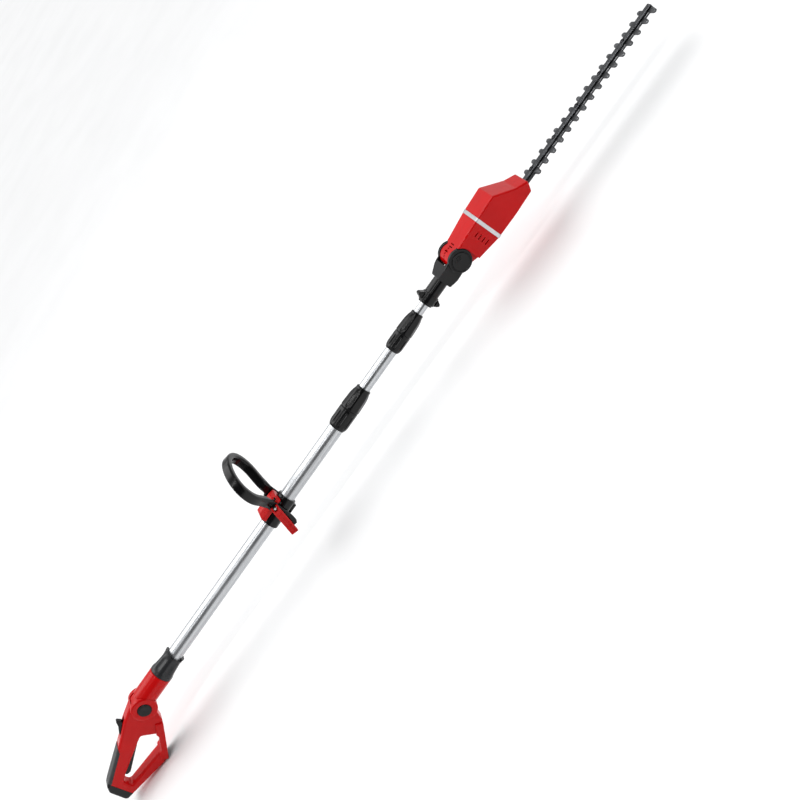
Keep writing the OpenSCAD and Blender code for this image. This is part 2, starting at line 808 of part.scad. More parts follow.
loop_steps = 10;
loop_side = concat(
    [[loop_leg_y, -44], [loop_leg_y, 38]],
    [for (i = [0 : loop_steps])
        cubic([loop_leg_y + 5, 52], [loop_leg_y + 12, 76],
              [loop_reach, 84], [loop_reach, 116], i / loop_steps)],
    [for (i = [1 : loop_steps])
        cubic([loop_reach, 116], [loop_reach, 146], [32, loop_height], [0, loop_height], i / loop_steps)]
);
loop_line = concat(
    loop_side,
    [for (i = [len(loop_side) - 2 : -1 : 0]) [-loop_side[i][0], loop_side[i][1]]]
);

function unit(v) = v / norm(v);

// The direction across the loop's line at point i
function across(i) =
    let (
        a = loop_line[max(i - 1, 0)],
        b = loop_line[min(i + 1, len(loop_line) - 1)],
        d = unit(b - a)
    ) [d[1], -d[0]];

// The band is thin beside the clamp and full in the grip
function half_band(i) = loop_line[i][1] < 45 ? leg_half : loop_thick / 2;

module loop_band_outline()
    polygon(concat(
        [for (i = [0 : len(loop_line) - 1]) loop_line[i] + across(i) * half_band(i)],
        [for (i = [len(loop_line) - 1 : -1 : 0]) loop_line[i] - across(i) * half_band(i)]
    ));

module loop_frame()
    translate([bolt_x + 4, 0, bolt_z])
        multmatrix([[1, loop_skew, 0, 0], [0, 1, 0, 0], [0, 0, 1, 0]])
            rotate([0, loop_lean, 0]) translate([0, 0, -bolt_z])
                children();

module loop_handle()
    color("black") place() difference() {
        union() {
            loop_frame() translate([-loop_band / 2, 0, 0]) rotate([90, 0, 90]) linear_extrude(loop_band)
                loop_band_outline();
            // Eyes that the clamp's bolt goes through
            for (side = [0, 1]) mirror([0, side, 0])
                rod_y(bolt_x, bolt_z, loop_leg_in, loop_leg_in + 2 * leg_half, 10);
        }
        rod_y(bolt_x, bolt_z, -60, 60, 3 + run_gap);
    }

module lever_frame()
    translate([bolt_x, lever_y, bolt_z]) rotate([0, lever_lean, 0]) children();

module clamp_lever()
    color("red") place() lever_frame() difference() {
        union() {
            rod_x(-9, 9, 5);
            block([-9, -6.5, -74], [9, 1.5, 0]);
            block([-9, -8.5, -80], [9, 1.5, -56]);
        }
        rod_x(-10, 10, lever_pin_r + run_gap);
        block([-4.5, -10, -6], [4.5, 10, 7]);
    }

module lever_pin()
    color("silver") place() lever_frame() rod_x(-9, 9, lever_pin_r);

handle_shell_left();
handle_shell_right();
grip_pad();
rear_cap();
battery_rail();
terminal_block();
contact_blades();
switch_box();
hinge_pin();
handle_screws();
trigger();
trigger_spring();
lock_off_button();
hinge_button();
neck_shell_left();
neck_shell_right();
neck_collar();
outer_tube();
spiral_cable();
lower_clamp_base();
lower_collet();
lower_clamp_nut();
middle_tube();
middle_bush();
upper_clamp_base();
upper_collet();
upper_clamp_nut();
inner_tube();
inner_bush();
yoke();
pivot_bolt();
pivot_cap_left();
pivot_cap_right();
tilt_lock_sleeve();
tilt_lock_pin();
tilt_lock_spring();
head_shell_left();
head_shell_right();
trim_band();
motor_can();
gear_plate();
shaft_bearings();
support_bar();
blade_bolts();
blade_nuts();
head_screws();
motor_shaft();
drive_gear();
crank_shaft();
upper_blade();
lower_blade();
tube_clamp_left();
tube_clamp_right();
clamp_saddle();
clamp_bolt();
loop_handle();
clamp_lever();
lever_pin();
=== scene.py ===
"""Looks of the pole hedge trimmer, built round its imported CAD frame.

Shapes are drawn in the tool's own millimetres: x from the rear end of the handle, y across,
z above the pole's centre line. They are put into the row frame when a piece is made.
"""

import math

import bmesh
import bpy
from mathutils import Matrix, Vector


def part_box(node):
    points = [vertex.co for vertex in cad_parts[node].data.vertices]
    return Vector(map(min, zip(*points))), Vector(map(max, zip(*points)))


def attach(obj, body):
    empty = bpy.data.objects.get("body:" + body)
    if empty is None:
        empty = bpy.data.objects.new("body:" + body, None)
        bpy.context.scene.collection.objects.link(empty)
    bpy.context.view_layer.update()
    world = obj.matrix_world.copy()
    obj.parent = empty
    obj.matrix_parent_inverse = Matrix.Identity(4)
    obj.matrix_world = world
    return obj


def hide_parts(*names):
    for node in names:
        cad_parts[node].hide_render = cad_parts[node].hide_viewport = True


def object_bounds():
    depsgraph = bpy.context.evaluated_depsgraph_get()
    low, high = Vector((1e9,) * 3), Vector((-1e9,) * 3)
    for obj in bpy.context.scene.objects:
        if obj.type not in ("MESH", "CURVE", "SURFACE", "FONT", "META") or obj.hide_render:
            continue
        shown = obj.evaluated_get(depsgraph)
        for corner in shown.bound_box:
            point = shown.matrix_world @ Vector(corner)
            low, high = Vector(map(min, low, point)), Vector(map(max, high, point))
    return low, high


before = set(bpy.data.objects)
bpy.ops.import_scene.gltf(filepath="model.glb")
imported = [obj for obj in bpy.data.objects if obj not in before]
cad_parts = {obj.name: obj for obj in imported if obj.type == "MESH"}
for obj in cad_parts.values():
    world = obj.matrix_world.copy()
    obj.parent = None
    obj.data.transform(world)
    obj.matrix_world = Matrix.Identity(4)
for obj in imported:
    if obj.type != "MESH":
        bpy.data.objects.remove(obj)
cad_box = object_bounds()

MM = 0.001
tube_low, tube_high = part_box("outer_tube")
ORIGIN = Vector((cad_box[0].x, 0, (tube_low.z + tube_high.z) / 2))
TO_ROW = Matrix.Translation(ORIGIN) @ Matrix.Scale(MM, 4)
FROM_ROW = TO_ROW.inverted()


def span(node):
    """The lowest and highest corner of a CAD node, in the tool's own millimetres."""
    return [FROM_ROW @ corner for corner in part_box(node)]


def middle(node):
    """The middle of a CAD node's box, in the tool's own millimetres."""
    low, high = span(node)
    return (low + high) / 2


HINGE = middle("hinge_pin")
PIVOT = middle("pivot_bolt")
CLAMP_BOLT = middle("clamp_bolt")


# ---- Outlines ----


def with_round_corners(points, radius, steps=5):
    """The closed outline with every corner turned into an arc; radius may be given corner by corner."""
    radii = radius if isinstance(radius, (list, tuple)) else [radius] * len(points)
    made = []
    for i, corner in enumerate(points):
        here = Vector(corner)
        back = Vector(points[i - 1]) - here
        ahead = Vector(points[(i + 1) % len(points)]) - here
        turn = back.angle(ahead)
        reach = radii[i] / math.tan(turn / 2)
        reach = min(reach, 0.48 * back.length, 0.48 * ahead.length)
        if reach < 0.05:
            made.append(here)
            continue
        start = here + back.normalized() * reach
        end = here + ahead.normalized() * reach
        for k in range(steps + 1):
            t = k / steps
            made.append(start.lerp(here, t).lerp(here.lerp(end, t), t))
    return made


def area_of(points):
    """The signed area of an outline: positive when it runs anticlockwise."""
    return sum(
        points[i - 1].x * points[i].y - points[i].x * points[i - 1].y
        for i in range(len(points))
    ) / 2


def inset_by(points, distance):
    """The outline moved inwards by a distance; outwards where it is negative."""
    side = 1 if area_of(points) > 0 else -1
    made = []
    for i, here in enumerate(points):
        before = (here - points[i - 1]).normalized()
        after = (points[(i + 1) % len(points)] - here).normalized()
        one = Vector((-before.y, before.x)) * side
        two = Vector((-after.y, after.x)) * side
        made.append(here + (one + two) / max(1 + one.dot(two), 0.3) * distance)
    return made


def fillet(radius, steps=5):
    """A rounded edge, as (inset, depth) pairs from the wall to the flat face."""
    turns = [math.pi / 2 * k / steps for k in range(steps + 1)]
    return [(radius * (1 - math.cos(a)), radius * (1 - math.sin(a))) for a in turns]


def chamfer(width):
    """A flat cut edge, as (inset, depth) pairs from the wall to the flat face."""
    return [(0, width), (width, 0)]


# ---- Solids ----


def slab(outline, low, high, low_edge, high_edge, holes=(), plane="XZ"):
    """A plate with rounded edges: an outline in the named plane, given thickness across it."""
    bm = bmesh.new()
    levels = [(inset, low + depth) for inset, depth in reversed(low_edge)]
    levels += [(inset, high - depth) for inset, depth in high_edge]
    caps = {0: [], len(levels) - 1: []}
    for loop, sign in [(outline, 1)] + [(h, -1) for h in holes]:
        points = [Vector(p) for p in loop]
        rings = []
        for inset, along in levels:
            ring = []
            for p in inset_by(points, sign * inset):
                place = {
                    "XZ": (p.x, along, p.y),
                    "XY": (p.x, p.y, along),
                    "YZ": (along, p.x, p.y),
                }[plane]
                ring.append(bm.verts.new(place))
            rings.append(ring)
        for a, b in zip(rings, rings[1:]):
            for k in range(len(a)):
                n = (k + 1) % len(a)
                bm.faces.new((a[k], a[n], b[n], b[k]))
        for level in caps:
            ring = rings[level]
            for k in range(len(ring)):
                caps[level].append(bm.edges.get((ring[k], ring[(k + 1) % len(ring)])))
    for edges in caps.values():
        bmesh.ops.triangle_fill(bm, use_beauty=True, use_dissolve=False, edges=edges)
    bmesh.ops.recalc_face_normals(bm, faces=bm.faces[:])
    return bm


def prism(outline, low, high, plane="XZ"):
    """A plain extruded outline, for cutting."""
    points = [Vector(p) for p in outline]
    return slab(points, low, high, [(0, 0)], [(0, 0)], plane=plane)


def block(low, high, edge=0.0, turn=None):
    """A box from corner to corner with its edges rounded by edge; turn places it."""
    bm = bmesh.new()
    bmesh.ops.create_cube(bm, size=1)
    size = Vector(high) - Vector(low)
    centre = (Vector(high) + Vector(low)) / 2
    bm.transform(Matrix.Translation(centre) @ Matrix.Diagonal((*size, 1)))
    if edge:
        bmesh.ops.bevel(bm, geom=bm.edges[:], offset=edge, segments=3, profile=0.5, affect="EDGES")
    if turn:
        bm.transform(turn)
    return bm


def lathe(profile, axis="X", centre=(0, 0, 0), steps=96, groove=None, closed=False):
    """A turned solid. profile is a list of (along, radius) or (along, radius, groove depth).

    groove(angle) is how much of the groove depth is taken off there, from 0 to 1.
    """
    bm = bmesh.new()
    rings = []
    for point in profile:
        along, radius = point[:2]
        depth = point[2] if len(point) > 2 else 0
        ring = []
        for k in range(steps):
            angle = 2 * math.pi * k / steps
            r = radius - (depth * groove(angle) if depth else 0)
            across, up = r * math.cos(angle), r * math.sin(angle)
            place = {
                "X": (along, across, up),
                "Y": (across, along, up),
                "Z": (across, up, along),
            }[axis]
            ring.append(bm.verts.new(Vector(place) + Vector(centre)))
        rings.append(ring)
    pairs = list(zip(rings, rings[1:]))
    if closed:
        pairs.append((rings[-1], rings[0]))
    for a, b in pairs:
        for k in range(steps):
            n = (k + 1) % steps
            bm.faces.new((a[k], a[n], b[n], b[k]))
    bmesh.ops.remove_doubles(bm, verts=bm.verts[:], dist=0.0005)
    bmesh.ops.recalc_face_normals(bm, faces=bm.faces[:])
    return bm


def rod(low, high, radius, axis="X", centre=(0, 0, 0), edge=0.0, steps=64):
    """A round bar with eased ends."""
    ends = [(low, 0), (low, radius - edge), (low + edge, radius)]
    ends += [(high - edge, radius), (high, radius - edge), (high, 0)]
    return lathe(ends, axis, centre, steps)


def object_of(bm):
    """A loose object with bm's mesh; bm is used up."""
    mesh = bpy.data.meshes.new("step")
    bm.to_mesh(mesh)
    bm.free()
    made = bpy.data.objects.new("step", mesh)
    bpy.context.scene.collection.objects.link(made)
    return made


def combined(bm, others, how):
    """bm after a boolean with each of the others. how is DIFFERENCE, UNION or INTERSECT."""
    body = object_of(bm)
    tools = [object_of(o) for o in others]
    for tool in tools:
        step = body.modifiers.new("step", "BOOLEAN")
        step.object = tool
        step.operation = how
        step.solver = "EXACT"
    graph = bpy.context.evaluated_depsgraph_get()
    mesh = bpy.data.meshes.new_from_object(body.evaluated_get(graph))
    made = bmesh.new()
    made.from_mesh(mesh)
    bpy.data.meshes.remove(mesh)
    for o in [body, *tools]:
        bpy.data.meshes.remove(o.data)
    return made


def cut(bm, *tools):
    return combined(bm, tools, "DIFFERENCE")


def fused(bm, *others):
    return combined(bm, others, "UNION")


def together(*parts):
    """Several solids as one mesh, without joining them."""
    made = bmesh.new()
    for bm in parts:
        mesh = bpy.data.meshes.new("step")
        bm.to_mesh(mesh)
        bm.free()
        made.from_mesh(mesh)
        bpy.data.meshes.remove(mesh)
    return made


def cad_mesh(node):
    """A copy of a CAD node's mesh in millimetres, with the triangles of its flat faces joined."""
    bm = bmesh.new()
    bm.from_mesh(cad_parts[node].data)
    bm.transform(FROM_ROW)
    bmesh.ops.remove_doubles(bm, verts=bm.verts[:], dist=0.002)
    bmesh.ops.dissolve_limit(bm, angle_limit=math.radians(1), verts=bm.verts[:], edges=bm.edges[:])
    return bm


def from_cad(node, edge, least=0.0):
    """A CAD node's mesh with its sharp edges rounded, leaving out edges shorter than least."""
    bm = cad_mesh(node)
    sharp = [
        e for e in bm.edges
        if len(e.link_faces) == 2
        and e.calc_face_angle() > math.radians(30)
        and e.calc_length() > least
    ]
    bmesh.ops.bevel(bm, geom=sharp, offset=edge, segments=2, profile=0.5, affect="EDGES")
    return bm


def piece(name, bm, look, body, stands_for=(), sharp=32):
    """Makes bm a shown piece with that look, riding on a body in place of the CAD nodes it stands for."""
    mesh = bpy.data.meshes.new(name)
    bm.to_mesh(mesh)
    bm.free()
    mesh.transform(TO_ROW)
    mesh.materials.append(look)
    mesh.shade_smooth()
    mesh.set_sharp_from_angle(angle=math.radians(sharp))
    made = bpy.data.objects.new(name, mesh)
    bpy.context.scene.collection.objects.link(made)
    even = made.modifiers.new("even_normals", "WEIGHTED_NORMAL")
    even.keep_sharp = True
    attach(made, body)
    if stands_for:
        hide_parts(*stands_for)
    return made


# ---- Finishes ----


def srgb(red, green, blue):
    """A colour given in ordinary 0 to 255 steps."""
    levels = [c / 255 for c in (red, green, blue)]
    return [*((c / 12.92 if c <= 0.04045 else ((c + 0.055) / 1.055) ** 2.4) for c in levels), 1]


class Finish:
    """One material and the few kinds of node that its look is made of."""

    def __init__(self, name, slot=None, **sockets):
        self.material = bpy.data.materials.new("look_" + name)
        self.material["slot"] = slot or name
        self.material.use_nodes = True
        self.tree = self.material.node_tree
        self.shader = self.tree.nodes["Principled BSDF"]
        for socket, value in sockets.items():
            self.shader.inputs[socket.replace("_", " ")].default_value = value
        self.place = self.tree.nodes.new("ShaderNodeTexCoord").outputs["Object"]

    def node(self, kind, inputs=(), **settings):
        made = self.tree.nodes.new(kind)
        for name, value in settings.items():
            setattr(made, name, value)
        for socket, value in dict(inputs).items():
            if isinstance(value, bpy.types.NodeSocket):
                self.tree.links.new(value, made.inputs[socket])
            else:
                made.inputs[socket].default_value = value
        return made

    def noise(self, size, detail=4, stretch=(1, 1, 1), rough=0.55):
        """Noise whose features are about size millimetres across; stretch thins it along an axis."""
        spread = self.node("ShaderNodeMapping", {"Vector": self.place, "Scale": stretch})
        inputs = {"Vector": spread.outputs[0], "Scale": 1 / (size * MM), "Detail": detail}
        inputs["Roughness"] = rough
        return self.node("ShaderNodeTexNoise", inputs).outputs["Fac"]

    def cells(self, size):
        inputs = {"Vector": self.place, "Scale": 1 / (size * MM)}
        return self.node("ShaderNodeTexVoronoi", inputs).outputs["Distance"]

    def remap(self, value, low, high, start=0.3, end=0.7):
        inputs = {"Value": value, "From Min": start, "From Max": end, "To Min": low, "To Max": high}
        return self.node("ShaderNodeMapRange", inputs).outputs[0]

    def ramp(self, value, stops):
        """Colours along a value; stops are (place, colour)."""
        made = self.node("ShaderNodeValToRGB", {"Fac": value})
        marks = made.color_ramp.elements
        while len(marks) < len(stops):
            marks.new(0.5)
        for mark, (place, colour) in zip(marks, stops):
            mark.position = place
            mark.color = colour
        return made.outputs[0]

    def mixed(self, amount, one, two):
        inputs = {0: amount, 6: one, 7: two}
        return self.node("ShaderNodeMix", inputs, data_type="RGBA").outputs[2]

    def worn_edges(self, low=0.52, high=0.6):
        """From 0 on flat surfaces to 1 on outer edges, broken up by noise."""
        edge = self.node("ShaderNodeNewGeometry").outputs["Pointiness"]
        edge = self.remap(edge, 0, 1, low, high)
        inputs = {0: edge, 1: self.remap(self.noise(3, 6), 0, 1, 0.45, 0.6)}
        return self.node("ShaderNodeMath", inputs, operation="MULTIPLY").outputs[0]

    def bump(self, height, depth, under=None):
        """Relief of depth millimetres."""
        inputs = {"Height": height, "Distance": depth * MM, "Strength": 1.0}
        if under:
            inputs["Normal"] = under
        return self.node("ShaderNodeBump", inputs).outputs[0]

    def use(self, **sockets):
        """Links outputs to the shader's sockets."""
        for socket, output in sockets.items():
            self.tree.links.new(output, self.shader.inputs[socket.replace("_", " ")])
        return self.material


def moulded(name, colour, shade, rough, grain, shine):
    """Injection-moulded plastic: fine spark-eroded grain, slow colour drift, light scuffs."""
    f = Finish(name, Specular_IOR_Level=shine)
    drift = f.ramp(f.noise(70, 3), [(0.3, shade), (0.7, colour)])
    pale = [min(1, c * 1.4 + 0.004) for c in colour[:3]] + [1]
    scuffs = f.remap(f.noise(7, 10, (1, 1, 1), 0.75), 0, 0.35, 0.62, 0.78)
    tone = f.mixed(scuffs, drift, pale)
    soft = f.bump(f.noise(40, 1), 0.04)
    relief = f.bump(f.noise(0.6, 2), grain, soft)
    gloss = f.remap(f.noise(16, 6), rough - 0.03, rough + 0.06)
    return f.use(Base_Color=tone, Roughness=gloss, Normal=relief)


def red_housing():
    return moulded("red_housing", srgb(206, 11, 13), srgb(194, 8, 10), 0.15, grain=0.004, shine=0.18)


def red_lever():
    return moulded("red_lever", srgb(208, 16, 16), srgb(192, 12, 13), 0.26, grain=0.008, shine=0.2)


def black_plastic():
    return moulded("black_plastic", srgb(11, 11, 12), srgb(7, 7, 8), 0.2, grain=0.006, shine=0.28)


def grey_plastic():
    return moulded("grey_plastic", srgb(42, 43, 45), srgb(30, 31, 33), 0.26, grain=0.008, shine=0.3)


def soft_grip():
    """Soft rubber with a dimpled surface and a dusty bloom."""
    f = Finish("soft_grip", Sheen_Weight=0.25, Sheen_Roughness=0.5)
    tone = f.ramp(f.noise(25, 6), [(0.35, srgb(24, 24, 25)), (0.7, srgb(44, 44, 46))])
    dimples = f.bump(f.cells(1.6), 0.12)
    relief = f.bump(f.noise(0.5, 3), 0.03, dimples)
    gloss = f.remap(f.noise(12, 5), 0.62, 0.85)
    return f.use(Base_Color=tone, Roughness=gloss, Normal=relief)


def cable_jacket():
    """Black cable sheath with fine lengthwise drawing lines."""
    f = Finish("cable_jacket")
    tone = f.ramp(f.noise(20, 4), [(0.35, srgb(20, 20, 21)), (0.7, srgb(34, 34, 35))])
    lines = f.bump(f.noise(1.2, 3, (0.02, 1, 1)), 0.04)
    return f.use(Base_Color=tone, Roughness=f.remap(f.noise(6, 5), 0.45, 0.65), Normal=lines)


def metal(name, colour, shade, rough, lines, relief=0.01, slot=None):
    """Bare or plated metal: lines gives the direction of its drawing or grinding marks."""
    f = Finish(name, slot, Metallic=1.0)
    tone = f.ramp(f.noise(18, 5), [(0.3, shade), (0.7, colour)])
    fine = f.noise(1.1, 4, lines, 0.6)
    gloss = f.remap(f.noise(5, 6, lines), rough - 0.08, rough + 0.08)
    return f.use(Base_Color=tone, Roughness=gloss, Normal=f.bump(fine, relief))


def pole_aluminium():
    """Satin anodised tube, drawn lengthwise, with light rubbing marks round it where it slides."""
    f = Finish("pole_aluminium", Metallic=1.0, Anisotropic=0.35)
    drawn = f.noise(2.5, 4, (0.01, 1, 1), 0.6)
    tone = f.ramp(drawn, [(0.3, srgb(176, 178, 181)), (0.7, srgb(206, 208, 210))])
    rubbed = f.remap(f.noise(3, 5, (0.03, 1, 1), 0.7), 0, 1, 0.58, 0.75)
    tone = f.mixed(rubbed, tone, srgb(226, 227, 228))
    gloss = f.remap(f.noise(22, 6, (0.3, 1, 1)), 0.27, 0.4)
    relief = f.bump(f.noise(0.8, 3, (0.01, 1, 1)), 0.006)
    return f.use(Base_Color=tone, Roughness=gloss, Normal=relief)


def blade_steel():
    """Laser-cut hardened steel: dark heat tone, brighter where the edges are ground."""
    f = Finish("blade_steel", Metallic=0.9)
    tone = f.ramp(f.noise(14, 6), [(0.3, srgb(50, 51, 53)), (0.7, srgb(74, 75, 77))])
    tone = f.mixed(f.worn_edges(0.505, 0.56), tone, srgb(120, 121, 123))
    gloss = f.remap(f.noise(4, 6, (1, 0.1, 1)), 0.32, 0.52)
    return f.use(Base_Color=tone, Roughness=gloss, Normal=f.bump(f.noise(0.8, 4, (1, 0.1, 1)), 0.012))


RED = red_housing()
LEVER_RED = red_lever()
SOFT = soft_grip()
BLACK = black_plastic()
GREY = grey_plastic()
JACKET = cable_jacket()
ALUMINIUM = pole_aluminium()
STEEL = metal("bright_steel", srgb(196, 197, 198), srgb(168, 168, 168), 0.28, (1, 1, 1))
SILVER = metal("trim_silver", srgb(205, 206, 208), srgb(190, 191, 194), 0.3, (1, 0.1, 0.1))
MOTOR = metal("motor_steel", srgb(150, 150, 150), srgb(120, 121, 122), 0.35, (1, 0.1, 0.1))
ALLOY = metal("gearbox_alloy", srgb(165, 166, 168), srgb(140, 141, 143), 0.5, (1, 1, 1), 0.05)
BLADE = blade_steel()
GROUND = metal("ground_steel", srgb(122, 123, 125), srgb(92, 93, 95), 0.3, (1, 0.05, 1), slot="blade_steel")
BAR = metal("bar_steel", srgb(80, 81, 83), srgb(60, 61, 63), 0.27, (0.05, 1, 1), slot="blade_steel")
OXIDE = metal("black_oxide", srgb(60, 60, 62), srgb(42, 42, 44), 0.35, (1, 1, 1), slot="bright_steel")
BRASS = metal("brass", srgb(200, 170, 96), srgb(176, 146, 80), 0.3, (1, 1, 1), slot="bright_steel")


# ---- Rear handle ----

HANDLE_FORM = [
    (14, -52.6), (2, -67), (0, -112), (4, -118.5), (144, -143), (233, -68),
    (250, -39), (270, -30), (262, 21), (232, 23), (187, 11), (150, -5),
]
HANDLE_CORNERS = [9, 12, 7, 5, 7, 12, 8, 8, 10, 12, 30, 60]
FINGER_OPENING = [(44, -80), (40, -104), (160, -112), (195, -80), (172, -45), (66, -72)]
PAD_REGION = [(25.3, -38), (118, -2), (125, -11.4), (112, -26), (29, -56), (25.3, -56)]
CAP_REGION = [(-6, -38), (25, -38), (25, -48.8), (23, -120.5), (23, -130), (-6, -130)]
TRIGGER_SLOT = [(52, -62), (52, -88), (100, -80), (150, -62), (176, -60), (176, -36)]
LOCK_SLOT = [(150, -14), (150, 10), (197, 20), (197, -2)]
HANDLE_SCREWS = [(31, -110), (138, -124), (211, -36), (205, 2), (44, -68)]

rail_turn = Matrix.Rotation(math.radians(-40), 4, "Y")
RAIL = Matrix.Translation((144, 0, -143)) @ rail_turn @ Matrix.Translation((58, 0, 0))


def halves(bm, seam=0.12):
    """The -Y and the +Y half of a moulding, with the fine gap of its parting line."""
    other = bm.copy()
    reach = (2400, 300, 400)
    left = block((-100, -reach[1], -reach[2]), (reach[0], -seam, reach[2]))
    right = block((-100, seam, -reach[2]), (reach[0], reach[1], reach[2]))
    return combined(bm, [left], "INTERSECT"), combined(other, [right], "INTERSECT")


def screw_wells(places, radius, bottom):
    """Round recesses in the +Y side, down to y = bottom."""
    return [rod(bottom, 70, radius, "Y", (x, 0, z), steps=32) for x, z in places]


def screws(name, places, top, radius, body, node):
    """Pan heads with a cross recess, seen in their wells, and their shanks."""
    heads = []
    for x, z in places:
        head = lathe(
            [(top - 2.5, 0), (top - 2.5, radius), (top - 1.2, radius), (top - 0.3, radius - 0.7),
             (top, radius - 1.6), (top, 0)],
            "Y", (x, 0, z), 32,
        )
        turn = Matrix.Translation((x, top, z)) @ Matrix.Rotation(0.4 * x, 4, "Y")
        arms = [
            block((-1.7, -1.1, -0.4), (1.7, 1, 0.4), turn=turn),
            block((-0.4, -1.1, -1.7), (0.4, 1, 1.7), turn=turn),
        ]
        heads.append(cut(head, *arms))
        heads.append(rod(-8, top - 2.4, 1.4, "Y", (x, 0, z), 0.3, 16))
    piece(name, together(*heads), STEEL, body, [node])


def handle_slab(half_width, grow=0.0):
    """The handle's rounded form before anything is cut into it."""
    outline = with_round_corners(HANDLE_FORM, HANDLE_CORNERS, 6)
    opening = with_round_corners(FINGER_OPENING, 9, 6)
    edge = fillet(6.5, 6)
    return slab(inset_by(outline, -grow), -half_width, half_width, edge, edge, [opening])


def handle():
    low, high = span("handle_shell_left")[0].y, span("handle_shell_right")[1].y
    space = 13.3
    cheeks = lathe(
        [(low + 8.2, 0), (low + 8.2, 17), (low + 0.9, 17), (low + 0.4, 17.6), (low + 0.4, 21),
         (low, 22.5), (low, 27), (low + 0.7, 29.4), (low + 2, 31.2), (low + 4, 32),
         (high - 4, 32), (high - 2, 31.2), (high - 0.7, 29.4), (high, 27), (high, 23),
         (high - 1, 21), (high - 1, 0)],
        "Y", (HINGE.x, 0, HINGE.z), 128,
    )
    shoulders = block((-56, -21, 0), (54, 21, 20), 3, RAIL)
    form = fused(handle_slab(17), cheeks, shoulders)
    opening = with_round_corners(FINGER_OPENING, 9, 6)
    form = cut(
        form,
        prism(inset_by([Vector(p) for p in PAD_REGION], -0.2), -30, 30),
        prism(inset_by([Vector(p) for p in CAP_REGION], -0.2), -30, 30),
        prism(opening, -24, 24),
        rod(-space, space, 31, "Y", (HINGE.x, 0, HINGE.z), steps=96),
        block((HINGE.x - 6.5, -space, HINGE.z - 20), (HINGE.x + 60, space, 60)),
        prism(TRIGGER_SLOT, -7.6, 7.6),
        prism(LOCK_SLOT, -6.6, 6.6),
        block((-62, -18, -2), (48, 18, 12), turn=RAIL),
        *screw_wells(HANDLE_SCREWS, 3.3, 13),
    )
    left, right = halves(form)
    piece("handle_half_left", left, RED, "handle", ["handle_shell_left"])
    piece("handle_half_right", right, RED, "handle", ["handle_shell_right"])
    pad = combined(handle_slab(17.4, 0.4), [prism(PAD_REGION, -30, 30)], "INTERSECT")
    piece("grip_overmould", pad, SOFT, "handle", ["grip_pad"])
    cap = combined(handle_slab(17.4, 0.0), [prism(CAP_REGION, -30, 30)], "INTERSECT")
    piece("rear_end_cap", cap, BLACK, "handle", ["rear_cap"])
    screws("handle_torx", HANDLE_SCREWS, 15.6, 3, "handle", "handle_screws")


def handle_controls():
    outline = [(162, -38), (170, -38), (172, -44), (166, -50), (150, -53), (71, -84),
               (61, -82), (58, -75), (150, -46)]
    blade = slab(with_round_corners(outline, 3, 4), -7, 7, fillet(1.8, 3), fillet(1.8, 3))
    pin = rod(-15.5, 15.5, 2, "Y", (166, 0, -42), 0.4, 24)
    piece("trigger_blade", together(blade, pin), BLACK, "trigger", ["trigger"])
    outline = [(154, -8), (154, 0), (171, 13), (180, 25), (184, 25), (187, 15), (187, 3), (175, -4)]
    button = slab(with_round_corners(outline, 2.2, 4), -6, 6, fillet(1.4, 3), fillet(1.4, 3))
    ridges = [rod(-7, 7, 0.7, "Y", (172.6 + 2.4 * k, 0, 15.6 + 3.2 * k), steps=16) for k in range(3)]
    piece("lock_off_thumb", cut(button, *ridges), BLACK, "lock_off", ["lock_off_button"])
    low = span("hinge_button")[0].y
    cap = lathe(
        [(low + 7, 0), (low + 7, 16.5), (low + 2, 16.5), (low + 1.2, 15.9), (low + 1, 15),
         (low + 1, 14), (low + 0.3, 13.5), (low, 12.6), (low + 0.1, 10), (low + 0.7, 5), (low + 0.9, 0)],
        "Y", (HINGE.x, 0, HINGE.z), 96,
    )
    piece("hinge_release", cap, BLACK, "hinge_button", ["hinge_button"])


def battery_rail():
    for node, look, edge in [
        ("battery_rail", GREY, 0.6), ("terminal_block", BLACK, 0.5), ("switch_box", BLACK, 0.8),
    ]:
        piece(node + "_moulded", from_cad(node, edge, 1.5), look, "handle", [node])


# ---- Neck and collar ----


def neck():
    start, end = 260, span("neck_shell_left")[1].x
    barrel = lathe(
        [(start, 0), (start, 24), (start + 1, 26.3), (start + 3, 27.5), (end - 1.2, 27.5),
         (end, 26.6), (end, 0)],
        steps=128,
    )
    barrel = cut(barrel, rod(-29, 29, 33, "Y", (HINGE.x, 0, HINGE.z), steps=128))
    arm = block((HINGE.x, -13, HINGE.z - 16), (HINGE.x + 38, 13, HINGE.z + 22), 1.5)
    knuckle = rod(-13, 13, 30, "Y", (HINGE.x, 0, HINGE.z), 1, 128)
    form = fused(barrel, arm, knuckle)
    form = cut(form, rod(300, end + 1, 18.05), rod(210, 301, 7.6))
    left, right = halves(form)
    piece("neck_half_left", left, RED, "pole", ["neck_shell_left"])
    piece("neck_half_right", right, RED, "pole", ["neck_shell_right"])


def flutes(count, share=0.5, turn=0.0):
    """Smooth grooves round a knob: count of them, each taking that share of its pitch."""

    def depth(angle):
        place = ((angle + turn) * count / (2 * math.pi)) % 1
        away = abs(place - 0.5) * 2
        return max(0.0, math.cos(math.pi / 2 * away / share)) if away < share else 0.0

    return depth


